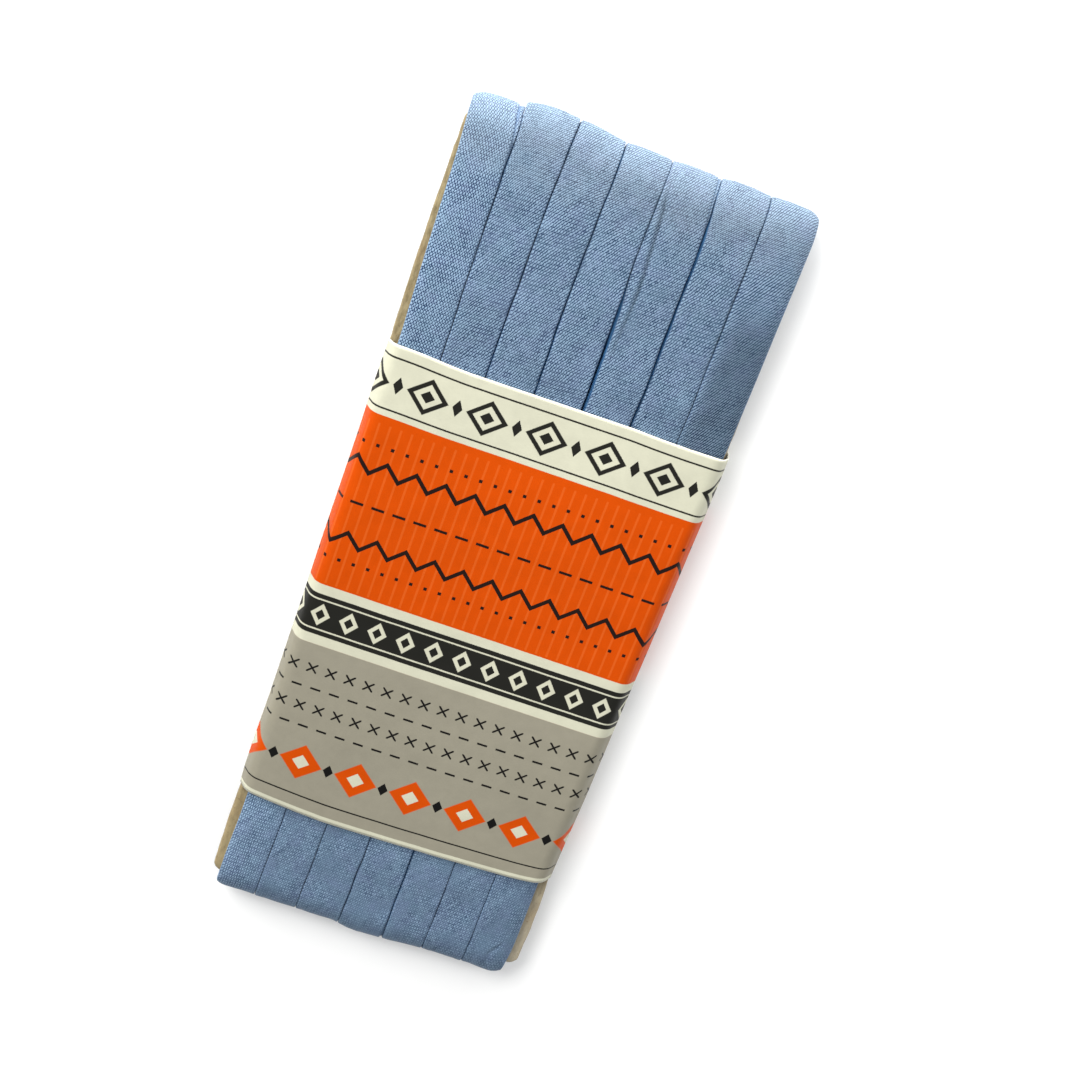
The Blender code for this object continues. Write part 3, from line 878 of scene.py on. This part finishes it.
#                y      left     right   of the sides
BAND_SIDES = ((-47.25, -24.68, 24.63), (-46.30, -24.76, 24.63), (-44.00, -24.82, 24.64), (-40.00, -24.82, 24.65),
              (-36.00, -24.77, 24.70), (-31.00, -24.70, 24.79), (0.00, -24.72, 24.80), (15.00, -24.69, 24.80),
              (19.00, -24.74, 24.81), (22.00, -24.77, 24.78), (24.00, -24.74, 24.76), (26.00, -24.71, 24.79),
              (28.40, -24.67, 24.71), (29.05, -24.66, 24.68))
# The paper's two cut ends as they lie on the front: x, y.
TOP_END = ((-24.9, 28.85), (-24.3, 29.32), (-23.0, 29.58), (-19.6, 29.48), (-16.4, 29.22), (-12.9, 29.05), (0.0, 29.10),
           (11.0, 29.15), (14.6, 29.0), (18.8, 28.96), (21.0, 29.0), (23.0, 29.05), (24.3, 28.85), (24.8, 28.45))
LOW_END = ((-24.9, -46.80), (-24.3, -46.35), (-23.2, -46.42), (-20.0, -46.75), (-16.0, -47.1), (-11.0, -47.42),
           (0.0, -47.40), (6.0, -47.22), (11.0, -47.02), (18.0, -46.72), (21.0, -46.42), (23.0, -46.10),
           (24.2, -45.85), (24.8, -46.05))


def rounded(path, radii, step=9):
    """A path with its corners rounded, as points."""
    made = [np.array(path[0], float)]
    for before, corner, after, r in zip(path, path[1:], path[2:], radii):
        before, corner, after = (np.array(p, float) for p in (before, corner, after))
        a, b = before - corner, after - corner
        la, lb = np.linalg.norm(a), np.linalg.norm(b)
        a, b = a / la, b / lb
        half = math.acos(max(-1, min(1, float(a @ b)))) / 2
        reach = min(r / math.tan(half), 0.48 * la, 0.48 * lb)
        for t in np.linspace(0, 1, step):
            made.append((1 - t) ** 2 * (corner + a * reach) + 2 * t * (1 - t) * corner + t * t * (corner + b * reach))
    made.append(np.array(path[-1], float))
    return np.array(made)


def refine(points, longest):
    """More points along a path wherever two lie further apart than this."""
    made = [points[0]]
    for a, b in zip(points, points[1:]):
        pieces = max(1, int(math.ceil(np.linalg.norm(b - a) / longest)))
        for t in np.linspace(0, 1, pieces + 1)[1:]:
            made.append(a + (b - a) * t)
    return np.array(made)


def build_band():
    """A strip of paper round the card, open at the overlap on its back."""
    fold_left = curve([(r[0], r[1]) for r in BAND_FOLDS], 4.0)
    fold_right = curve([(r[0], r[2]) for r in BAND_FOLDS], 4.0)
    side_left = curve([(r[0], r[1]) for r in BAND_SIDES], 0.8)
    side_right = curve([(r[0], r[2]) for r in BAND_SIDES], 0.8)
    top_end = curve(TOP_END, 0.5)
    low_end = curve(LOW_END, 0.5)
    slack = waves(41, 22, 9.0, 60.0)
    fine = waves(42, 26, 2.5, 9.0)
    shares = np.concatenate([np.linspace(0, 0.03, 6)[:-1], np.linspace(0.03, 0.97, 54), np.linspace(0.97, 1, 6)[1:]])
    rows = []
    for share in shares:
        y = lerp(BAND_SPAN[0], BAND_SPAN[1], share)
        fl, fr = float(fold_left(y)), float(fold_right(y))
        sl, sr = float(side_left(y)), float(side_right(y))
        path = [(-OVERLAP, -(BACK_OUT - 0.17)), (OVERLAP + 0.8, -(BACK_OUT - 0.17)), (OVERLAP + 3.4, -BACK_OUT),
                (fr - 0.3, -BACK_OUT), (sr, -SIDE_OUT), (sr, SIDE_OUT), (fr, FRONT_OUT),
                (fl, FRONT_OUT), (sl, SIDE_OUT), (sl, -SIDE_OUT), (fl + 0.3, -BACK_OUT), (OVERLAP, -BACK_OUT)]
        radii = (1.2, 1.2, 3.0, 0.40, 0.40, 5.0, 5.5, 0.40, 0.40, 3.0)
        rows.append(rounded(path, radii, 7))
    # the same number of points in each row, at matching places
    template = rows[len(rows) // 2]
    split = []
    for a, b in zip(template, template[1:]):
        split.append(max(1, int(math.ceil(np.linalg.norm(b - a) / 1.0))))
    grid_x, grid_z = [], []
    for row in rows:
        px, pz = [row[0][0]], [row[0][1]]
        for (a, b), pieces in zip(zip(row, row[1:]), split):
            for t in np.linspace(0, 1, pieces + 1)[1:]:
                px.append(a[0] + (b[0] - a[0]) * t)
                pz.append(a[1] + (b[1] - a[1]) * t)
        grid_x.append(px)
        grid_z.append(pz)
    gx, gz = np.array(grid_x), np.array(grid_z)
    gy = np.broadcast_to(lerp(BAND_SPAN[0], BAND_SPAN[1], shares)[:, None], gx.shape).copy()
    # developed place along the strip, zero at the middle of the front
    step = np.hypot(np.diff(gx, axis=1), np.diff(gz, axis=1))
    dev = np.concatenate([np.zeros((len(gx), 1)), np.cumsum(step, axis=1)], 1)
    front = gz > FRONT_OUT - 0.3
    for i in range(len(gx)):
        mid = np.interp(0.0, gx[i][front[i]][::-1], dev[i][front[i]][::-1])
        dev[i] = mid - dev[i]           # the strip runs right to left across the front
    # ends of the strip a little out of square, and drawn in where it turns the sides
    side = smoothstep((np.abs(gx) - 22.9) / 1.6)
    share = shares[:, None]
    level = gy.copy()                   # the print stays square to the strip
    shown = smoothstep((gz + 1.2) / 1.6)
    gy += share ** 6 * ((top_end(gx) - BAND_SPAN[1]) * shown + 0.04 * slack(gx * 0.5, 9.0))
    gy += (1 - share) ** 6 * ((low_end(gx) - BAND_SPAN[0]) * shown + 0.04 * slack(gx * 0.5, 70.0))
    # the paper follows the turns beneath it a little, and lies slightly uneven
    on_front = smoothstep((gz - FRONT_OUT + 0.5) / 0.4) * (1 - side)
    on_back = smoothstep((-gz - BACK_OUT + 0.5) / 0.4) * (1 - side)
    turns = np.zeros_like(gx)
    for seam in seam_mid:
        turns += np.exp(-((gx - seam(gy)) / 0.9) ** 2)
    gz = gz + on_front * (-0.022 * turns + 0.030 * slack(gx, gy) + 0.006 * fine(gx, gy))
    gz = gz - on_back * (0.0 * turns + 0.012 * slack(gx, gy + 300.0) - 0.012)
    gx = gx + side * np.sign(gx) * (0.02 * slack(gy * 0.8, 33.0 + np.sign(gx)))
    # outward direction at each point
    ax = np.gradient(gx, axis=1)
    az = np.gradient(gz, axis=1)
    size = np.maximum(np.hypot(ax, az), 1e-9)
    nx, nz = az / size, -ax / size
    outward = np.sign((nx * gx + nz * gz).mean())
    nx, nz = nx * outward, nz * outward
    half = PAPER_T / 2
    outer = np.stack([gx + half * nx, gy, gz + half * nz + MID_Z], 2)
    inner = np.stack([gx - half * nx, gy, gz - half * nz + MID_Z], 2)
    n_rows, n_cols = gx.shape
    points = np.concatenate([outer.reshape(-1, 3), inner.reshape(-1, 3)])
    shift = n_rows * n_cols
    faces = []
    for i in range(n_rows - 1):
        for j in range(n_cols - 1):
            a, b = i * n_cols + j, i * n_cols + j + 1
            c, d = a + n_cols, b + n_cols
            faces.append((a, b, d, c))
            faces.append((shift + a, shift + c, shift + d, shift + b))
    for i in range(n_rows - 1):
        for j in (0, n_cols - 1):
            a, c = i * n_cols + j, (i + 1) * n_cols + j
            faces.append((a, c, shift + c, shift + a) if j == 0 else (a, shift + a, shift + c, c))
    for j in range(n_cols - 1):
        for i in (0, n_rows - 1):
            a, b = i * n_cols + j, i * n_cols + j + 1
            faces.append((a, shift + a, shift + b, b) if i == 0 else (a, b, shift + b, shift + a))
    band = mesh_object("band", points, [face[::-1] for face in faces])
    uv = np.stack([dev.ravel(), level.ravel()], 1)
    add_uv(band.data, "print", np.concatenate([uv, uv]))
    add_float(band.data, "inside", np.concatenate([np.zeros(shift), np.ones(shift)]))
    crease = np.exp(-((np.abs(gx) - 24.75) / 0.30) ** 2)
    add_float(band.data, "crease", np.tile(crease.ravel(), 2))
    ends = np.minimum(level - BAND_SPAN[0], BAND_SPAN[1] - level)
    add_float(band.data, "from_end", np.tile(ends.ravel(), 2))
    return band


# -------------------------------------------------------------------- materials
def tape_material(joint=False):
    """Cotton plain weave cut on the bias, a little drawn out along the tape.

    The folded edges that line the joints between turns get a painted shade of deeper blue, for the shade and the blue
    bounce light down in the joints, and have none of the bloom of the surface.
    """
    b = Builder("bias_cotton_joint" if joint else "bias_cotton")
    u, v, _ = b.uv("cloth")
    x, y, z = b.place()
    drift = b.noise(x, y, z, scale=0.045, detail=1.0) - 0.5
    wander = b.noise(x, y, z, scale=0.35, detail=3.0, roughness=0.6) - 0.5
    wobble = b.noise(x, y, z + 90.0, scale=1.5, detail=1.0) - 0.5
    uu = u + drift * 3.0 + wander * 0.36 + wobble * 0.14
    vv = v + drift * 1.5 - wander * 0.28 + wobble * 0.10
    pitch_a, pitch_b = 0.316, 0.348
    lean_a, lean_b = math.radians(33.3), math.radians(33.0)
    pa = (uu * math.cos(lean_a) - vv * math.sin(lean_a)) / pitch_a
    pb = (uu * math.cos(lean_b) + vv * math.sin(lean_b)) / pitch_b
    # each thread has its own tone, and swells and thins along its length
    tone_a = b.noise(pa.floor() * 7.31, pb * 0.085, 3.0, scale=1.0, detail=3.0, roughness=0.6)
    tone_b = b.noise(pb.floor() * 5.77, pa * 0.085, 11.0, scale=1.0, detail=3.0, roughness=0.6)
    # the middle of each thread rises over one crossing thread and dips under the next
    odd_a = (pa.floor() * math.pi).cos()
    odd_b = (pb.floor() * math.pi).cos()
    rise_a = ((pb - 0.5) * math.pi).cos() * odd_a
    rise_b = ((pa - 0.5) * math.pi).cos() * odd_b * -1.0
    across_a = (pa.fract() - 0.5) * 2.0
    across_b = (pb.fract() - 0.5) * 2.0
    round_a = (1.0 - across_a * across_a * (1.12 - (tone_a - 0.5) * 0.5)).max(0.0).power(0.5)
    round_b = (1.0 - across_b * across_b * (1.16 - (tone_b - 0.5) * 0.5)).max(0.0).power(0.5)
    height_a = rise_a * 0.48 + round_a * 0.64
    height_b = rise_b * 0.48 + round_b * 0.50
    over = (height_a - height_b).ramp(-0.03, 0.03)
    height = height_a.max(height_b)
    fuzz = b.noise(u, v, 5.0, scale=2.6, detail=4.0, roughness=0.7)
    grain = b.noise(pa * 5.0 + pb * 1.1, pb * 0.9, 9.0, scale=1.0, detail=1.0)
    mottle = b.noise(x, y, z + 20.0, scale=0.30, detail=4.0, roughness=0.62)
    broad = b.noise(x, y, z + 40.0, scale=0.05, detail=1.0)
    lit = height * 0.62 + (over - 0.5) * 0.20 + (tone_a - 0.5) * 0.44 + (tone_b - 0.5) * 0.30
    lit = lit + (fuzz - 0.5) * 0.40 + (grain - 0.5) * 0.12
    # one family of threads stands out as fine slanting lines, and every float has its own tone
    ridge = ((pa - 0.5) * (2.0 * math.pi)).cos()
    rows = ((pa - pb) * math.pi).cos()
    columns = ((pa + pb - 1.0) * math.pi).cos()
    fleck = b.noise(pa.floor() * 3.71, pb.floor() * 4.37, 17.0, scale=1.0, detail=0.0)
    clear = y.ramp(-50.0, 20.0)
    # the first turn shows both families alike
    even = 1.0 - x.ramp(-19.5, -15.5)
    ridge_b = ((pb - 0.5) * (2.0 * math.pi)).cos()
    late = x.ramp(14.0, 19.0) * y.ramp(-20.0, 30.0)     # and the last turn shows them more clearly
    lit = lit + ridge * (clear * 0.11 + late * 0.09 - even * clear * 0.04 + 0.03 - even * 0.02) + ridge_b * (even * (clear * 0.09 + 0.02))
    lit = lit - rows * (0.022 - clear * 0.019 - late * 0.055) - columns * (0.016 - even * 0.045) + (fleck - 0.5) * (0.40 - even * 0.14)
    # crisp in some places and felted over in others, and flatter at the low end
    patch = b.noise(x, y * 0.8, z + 7.0, scale=0.30, detail=2.5, roughness=0.6)
    crisp = (patch.ramp(0.34, 0.62) * 0.62 + 0.38).max(late * 1.05).max(even * 1.22)
    crisp = crisp * (y.ramp(-52.0, 24.0) * 0.64 + 0.36) * (y.ramp(50.0, 60.0) * 0.40 + 1.0)
    share = (lit - 0.42) * (crisp * 3.7) + 0.445
    deep = (0.0100, 0.027, 0.070)
    light = (0.208, 0.300, 0.412)
    colour = b.mix(share.clamp(), deep, light)
    hue = b.noise(x, y, z + 60.0, scale=0.42, detail=2.0)
    colour = b.mix(hue.ramp(0.36, 0.50) * -0.10 + 0.10, colour, (0.104, 0.200, 0.258))
    colour = b.mix(hue.ramp(0.50, 0.66) * 0.12, colour, (0.158, 0.187, 0.333))
    colour = b.shade(colour, ((mottle - 0.5) * 0.17 + 1.0) * ((broad - 0.5) * 0.12 + 1.0))
    # painted light and shade: the first turn is painted a little lighter and the right half a little darker, as the
    # light falls from the left, and the last turn gets a painted shade towards the band, where it slopes away from the
    # light; the low end and the upper part are also made a little darker
    wear_and_painted_shade = x.ramp(15.9, 19.5) * y.ramp(0.0, 24.0) * (1.0 - y.ramp(43.0, 55.0))
    colour = b.shade(colour, even * 0.10 - x.ramp(2.0, 12.0) * 0.035 - wear_and_painted_shade * 0.30 - (1.0 - y.ramp(-52.0, -38.0)) * 0.02 - clear * 0.05 + 1.0)
    # painted highlight: the top end, where the fold faces the light, is painted paler and greyer, as a sheen
    colour = b.mix((y + (mottle - 0.5) * 14.0).ramp(52.0, 65.0) * 0.15, colour, (0.385, 0.420, 0.455))
    # painted shade: the turned edges, the folds and the sides of the joints are painted a deeper blue by their open
    # share, for the shade that falls there
    shade = b.attribute("open_share")
    colour = b.mix(shade, (0.088, 0.240, 0.530), colour)
    # painted shade in the crease of the fifth turn
    colour = b.shade(colour, b.attribute("crease_painted_shade") * -0.42 + 1.0)
    weave = b.bump(height + (fuzz - 0.5) * 0.25, 0.055, 0.80)
    if joint:
        # painted shade: deep in the joints and on the inner layers the colour goes to a darker navy, for the shade and
        # the blue bounce light there
        colour = b.mix(b.attribute("joint_depth"), colour, (0.092, 0.250, 0.490))
        return b.finish(colour, 0.95, weave, Specular_IOR_Level=0.0)
    return b.finish(colour, 0.9, weave, Specular_IOR_Level=0.06, Sheen_Weight=0.28, Sheen_Roughness=0.35,
                    Sheen_Tint=(0.80, 0.90, 1.0, 1.0))


def board_material():
    """Grey-brown chipboard with pale and dark fibres."""
    b = Builder("chipboard")
    x, y, z = b.place()
    fibre = b.noise(x * 0.9, y * 0.22, z, scale=2.4, detail=4.0, roughness=0.65)
    speck = b.noise(x, y, z, scale=3.2, detail=2.0)
    stain = b.noise(x, y, z + 9.0, scale=0.14, detail=2.0)
    edge = b.attribute("cut_edge")
    layers = (z * 28.0 + fibre * 2.0).sin() * 0.5 + 0.5
    colour = b.mix(fibre.ramp(0.30, 0.70), (0.185, 0.143, 0.072), (0.385, 0.308, 0.168))
    # the low end is paler, most of all on the right
    pale = b.mix(x.ramp(-8.0, 16.0), (0.370, 0.285, 0.150), (0.430, 0.385, 0.300))
    pale = b.shade(pale, fibre * 0.5 + 0.75)
    colour = b.mix((1.0 - (y + stain * 8.0).ramp(-54.0, -34.0)) * 0.72, colour, pale)
    colour = b.mix(speck.ramp(0.62, 0.74) * 0.6, colour, (0.12, 0.085, 0.05))
    colour = b.mix(speck.ramp(0.26, 0.36) * -0.5 + 0.5, colour, (0.32, 0.28, 0.19))
    colour = b.mix(stain.ramp(0.45, 0.72) * 0.35, colour, (0.30, 0.20, 0.10))
    colour = b.mix(edge * (layers * 0.5 + 0.15), colour, (0.31, 0.26, 0.17))
    bump = b.bump(fibre + speck * 0.6 + edge * layers * 0.8, 0.05, 0.8)
    return b.finish(colour, 0.9, bump, Specular_IOR_Level=0.2)


CREAM = (0.476, 0.471, 0.366)
ORANGE = (0.475, 0.054, 0.0003)
BLACK = (0.0060, 0.0060, 0.0055)
GREY = (0.236, 0.220, 0.170)


def band_material():
    """Coated paper printed in flat colours with a plain geometric pattern."""
    b = Builder("printed_paper")
    u, v, _ = b.uv("print")
    x, y, z = b.place()
    # the printed edges are a little soft, as ink on paper is
    jitter = b.noise(u, v, 0.0, scale=5.0, detail=2.0) - 0.5
    uu = u + jitter * 0.07
    vv = v + jitter * 0.07
    soft = 0.05

    def strip(low, high):
        """1 between two heights."""
        return vv.ramp(low - soft, low + soft) * (1.0 - vv.ramp(high - soft, high + soft))

    def inside(distance):
        """1 where a distance is below zero."""
        return 1.0 - distance.ramp(-soft, soft)

    def cell(pitch, offset=0.0):
        """Place across one repeat of a row, from minus half to half a pitch."""
        return ((uu / pitch + (offset + 0.5)).fract() - 0.5) * pitch

    def lozenge(pitch, middle, half_w, half_h, offset=0.0):
        return cell(pitch, offset).abs() / half_w + (vv - middle).abs() / half_h - 1.0

    colour = b.mix(strip(-18.6, 18.8), CREAM, ORANGE)
    colour = b.mix(strip(-46.35, -18.6), colour, GREY)
    # fine upright pinstripes in the orange field
    stripes = inside((cell(1.59).abs() - 0.16)) * strip(-8.6, 17.6)
    colour = b.mix(stripes * 0.30, colour, (0.60, 0.135, 0.025))
    # the light field at the top: a chain of large and small lozenges
    big = inside(lozenge(8.6, 23.55, 3.05, 2.75) * 1.6)
    hole = inside(lozenge(8.6, 23.55, 2.10, 1.90) * 1.4)
    heart = inside(lozenge(8.6, 23.55, 1.05, 0.95))
    small = inside(lozenge(8.6, 23.55, 0.72, 1.30, 0.5))
    ink = (big * (1.0 - hole)).max(heart).max(small)
    ink = ink.max(strip(27.15, 27.42)).max(strip(19.68, 19.95))
    # two zigzag rows with a row of short stitches between and beside them
    def zigzag(middle, pitch, rise, wide):
        wave = (cell(pitch).abs() / (pitch / 2) - 0.5) * (2 * rise)
        return inside((vv - (wave + middle)).abs() - wide)

    def dashes(middle, pitch, long, wide, offset=0.0):
        return inside(cell(pitch, offset).abs() - long / 2) * inside((vv - middle).abs() - wide / 2)

    ink = ink.max(zigzag(10.9, 4.3, 1.05, 0.42)).max(zigzag(-0.9, 4.3, -1.05, 0.42))
    ink = ink.max(dashes(5.0, 3.1, 1.9, 0.42)).max(dashes(14.3, 2.15, 0.5, 0.5)).max(dashes(-4.4, 2.15, 0.5, 0.5))
    # a light field with a black strip of small lozenges across it
    colour = b.mix(strip(-18.6, -8.9), colour, CREAM)
    ink = ink.max(strip(-17.05, -10.45))
    colour = b.mix(ink * 0.985, colour, BLACK)
    reserve = inside(lozenge(4.3, -13.75, 1.45, 1.85)) * (1.0 - inside(lozenge(4.3, -13.75, 0.72, 0.92)))
    reserve = reserve.max(strip(-11.45, -11.2)).max(strip(-16.3, -16.05))
    colour = b.mix(reserve, colour, CREAM)
    # the grey field: rows of small crosses and stitches
    def crosses(middle, pitch, reach, wide, offset=0.0):
        c = cell(pitch, offset)
        d = vv - middle
        arm = ((c + d).abs() * 0.7071 - wide).max((c - d).abs() * 0.7071 - wide)
        either = inside((c + d).abs() * 0.7071 - wide).max(inside((c - d).abs() * 0.7071 - wide))
        return either * inside(c.abs().max(d.abs()) - reach) + arm * 0.0

    marks = crosses(-22.6, 2.87, 0.78, 0.15).max(dashes(-25.9, 2.87, 1.55, 0.34, 0.5))
    marks = marks.max(crosses(-29.2, 2.87, 0.78, 0.15)).max(dashes(-32.5, 2.87, 1.55, 0.34, 0.5))
    marks = marks.max(strip(-44.4, -44.15))
    colour = b.mix(marks, colour, BLACK)
    tile = inside(lozenge(8.6, -38.6, 3.3, 3.1))
    colour = b.mix(tile, colour, ORANGE)
    dot = inside(lozenge(8.6, -38.6, 1.35, 1.27))
    colour = b.mix(dot, colour, CREAM)
    colour = b.mix(inside(lozenge(8.6, -38.6, 0.8, 1.1, 0.5)), colour, BLACK)
    # paper and ink: fibres and faint mottling
    fibre = b.noise(u * 0.8, v * 2.2, 1.0, scale=3.0, detail=4.0, roughness=0.7)
    cloud = b.noise(u, v, 4.0, scale=0.55, detail=3.0, roughness=0.6)
    broad = b.noise(u, v, 8.0, scale=0.05, detail=1.0)
    colour = b.shade(colour, (fibre - 0.5) * 0.10 + (cloud - 0.5) * 0.16 + (broad - 0.5) * 0.14 + 1.0)
    # rubbed ink along the folds, bare paper at the cut ends
    rub = b.noise(x * 0.7, y * 0.7, z, scale=2.2, detail=4.0, roughness=0.7)
    crease = b.attribute("crease")
    wear_and_painted_shade = (crease * rub).ramp(0.40, 0.85) * 0.22
    colour = b.mix(wear_and_painted_shade, colour, (0.52, 0.42, 0.32))
    ends = b.attribute("from_end")
    bare = (1.0 - (ends + (rub - 0.5) * 0.12).ramp(0.06, 0.20)) * 0.80
    colour = b.mix(bare, colour, (0.70, 0.69, 0.61))
    under = b.attribute("inside").ramp(0.4, 0.6)
    colour = b.mix(under, colour, (0.45, 0.43, 0.36))
    rough = (cloud - 0.5) * 0.18 + under * 0.4 + wear_and_painted_shade * 0.4 + 0.40
    sag = b.noise(u, v, 2.0, scale=0.11, detail=2.0)
    coarse = b.bump(sag, 0.35, 0.35)
    bump = b.bump(fibre * 0.5 + rub * crease * 0.8, 0.012, 0.6, coarse)
    return b.finish(colour, rough, bump, Specular_IOR_Level=0.08)


def floor_material():
    b = Builder("pale_floor")
    x, y, z = b.place()
    cloud = b.noise(x, y, 0.0, scale=0.012, detail=2.0)
    colour = b.mix(cloud, (0.94, 0.94, 0.937), (0.96, 0.96, 0.957))
    return b.finish(colour, 0.75, Specular_IOR_Level=0.2)


# ------------------------------------------------------------------- put it up
board = build_board()
board.data.materials.append(board_material())
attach(board, "root")
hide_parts("card")

tape, tape_length = build_tape()
tape.data.materials.append(tape_material())
tape.data.materials.append(tape_material(joint=True))
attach(tape, "root")
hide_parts("tape_winding")

band = build_band()
band.data.materials.append(band_material())
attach(band, "root")
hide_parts("paper_band")

floor = mesh_object("floor", [(-3000, -3000, 0), (3000, -3000, 0), (3000, 3000, 0), (-3000, 3000, 0)],
                    [(0, 1, 2, 3)], smooth=False)
floor.data.materials.append(floor_material())


def area_light(name, place, aim, wide, tall, power, colour):
    data = bpy.data.lights.new(name, "AREA")
    data.shape = "RECTANGLE"
    data.size, data.size_y = wide * MM, tall * MM
    data.energy = power
    data.color = colour
    lamp = bpy.data.objects.new(name, data)
    bpy.context.scene.collection.objects.link(lamp)
    way = Vector(aim) - Vector(place)
    lamp.matrix_world = Matrix.Translation(Vector(place) * MM) @ way.to_track_quat("-Z", "Y").to_matrix().to_4x4()


area_light("key", (-360, 375, 300), (0, 0, 0), 480, 480, 6.05, (1.0, 0.99, 0.97))
area_light("top", (-60, 640, 130), (0, 0, 0), 700, 180, 6.2, (1.0, 0.995, 0.98))
area_light("fill", (450, 250, 450), (0, 0, 0), 420, 420, 1.8, (1.0, 1.0, 1.0))

world = bpy.data.worlds.new("studio")
bpy.context.scene.world = world
world.use_nodes = True
background = next(n for n in world.node_tree.nodes if n.type == "BACKGROUND")
background.inputs["Color"].default_value = (0.97, 0.985, 1.0, 1.0)
background.inputs["Strength"].default_value = 0.40
bpy.context.scene.view_settings.view_transform = "Standard"
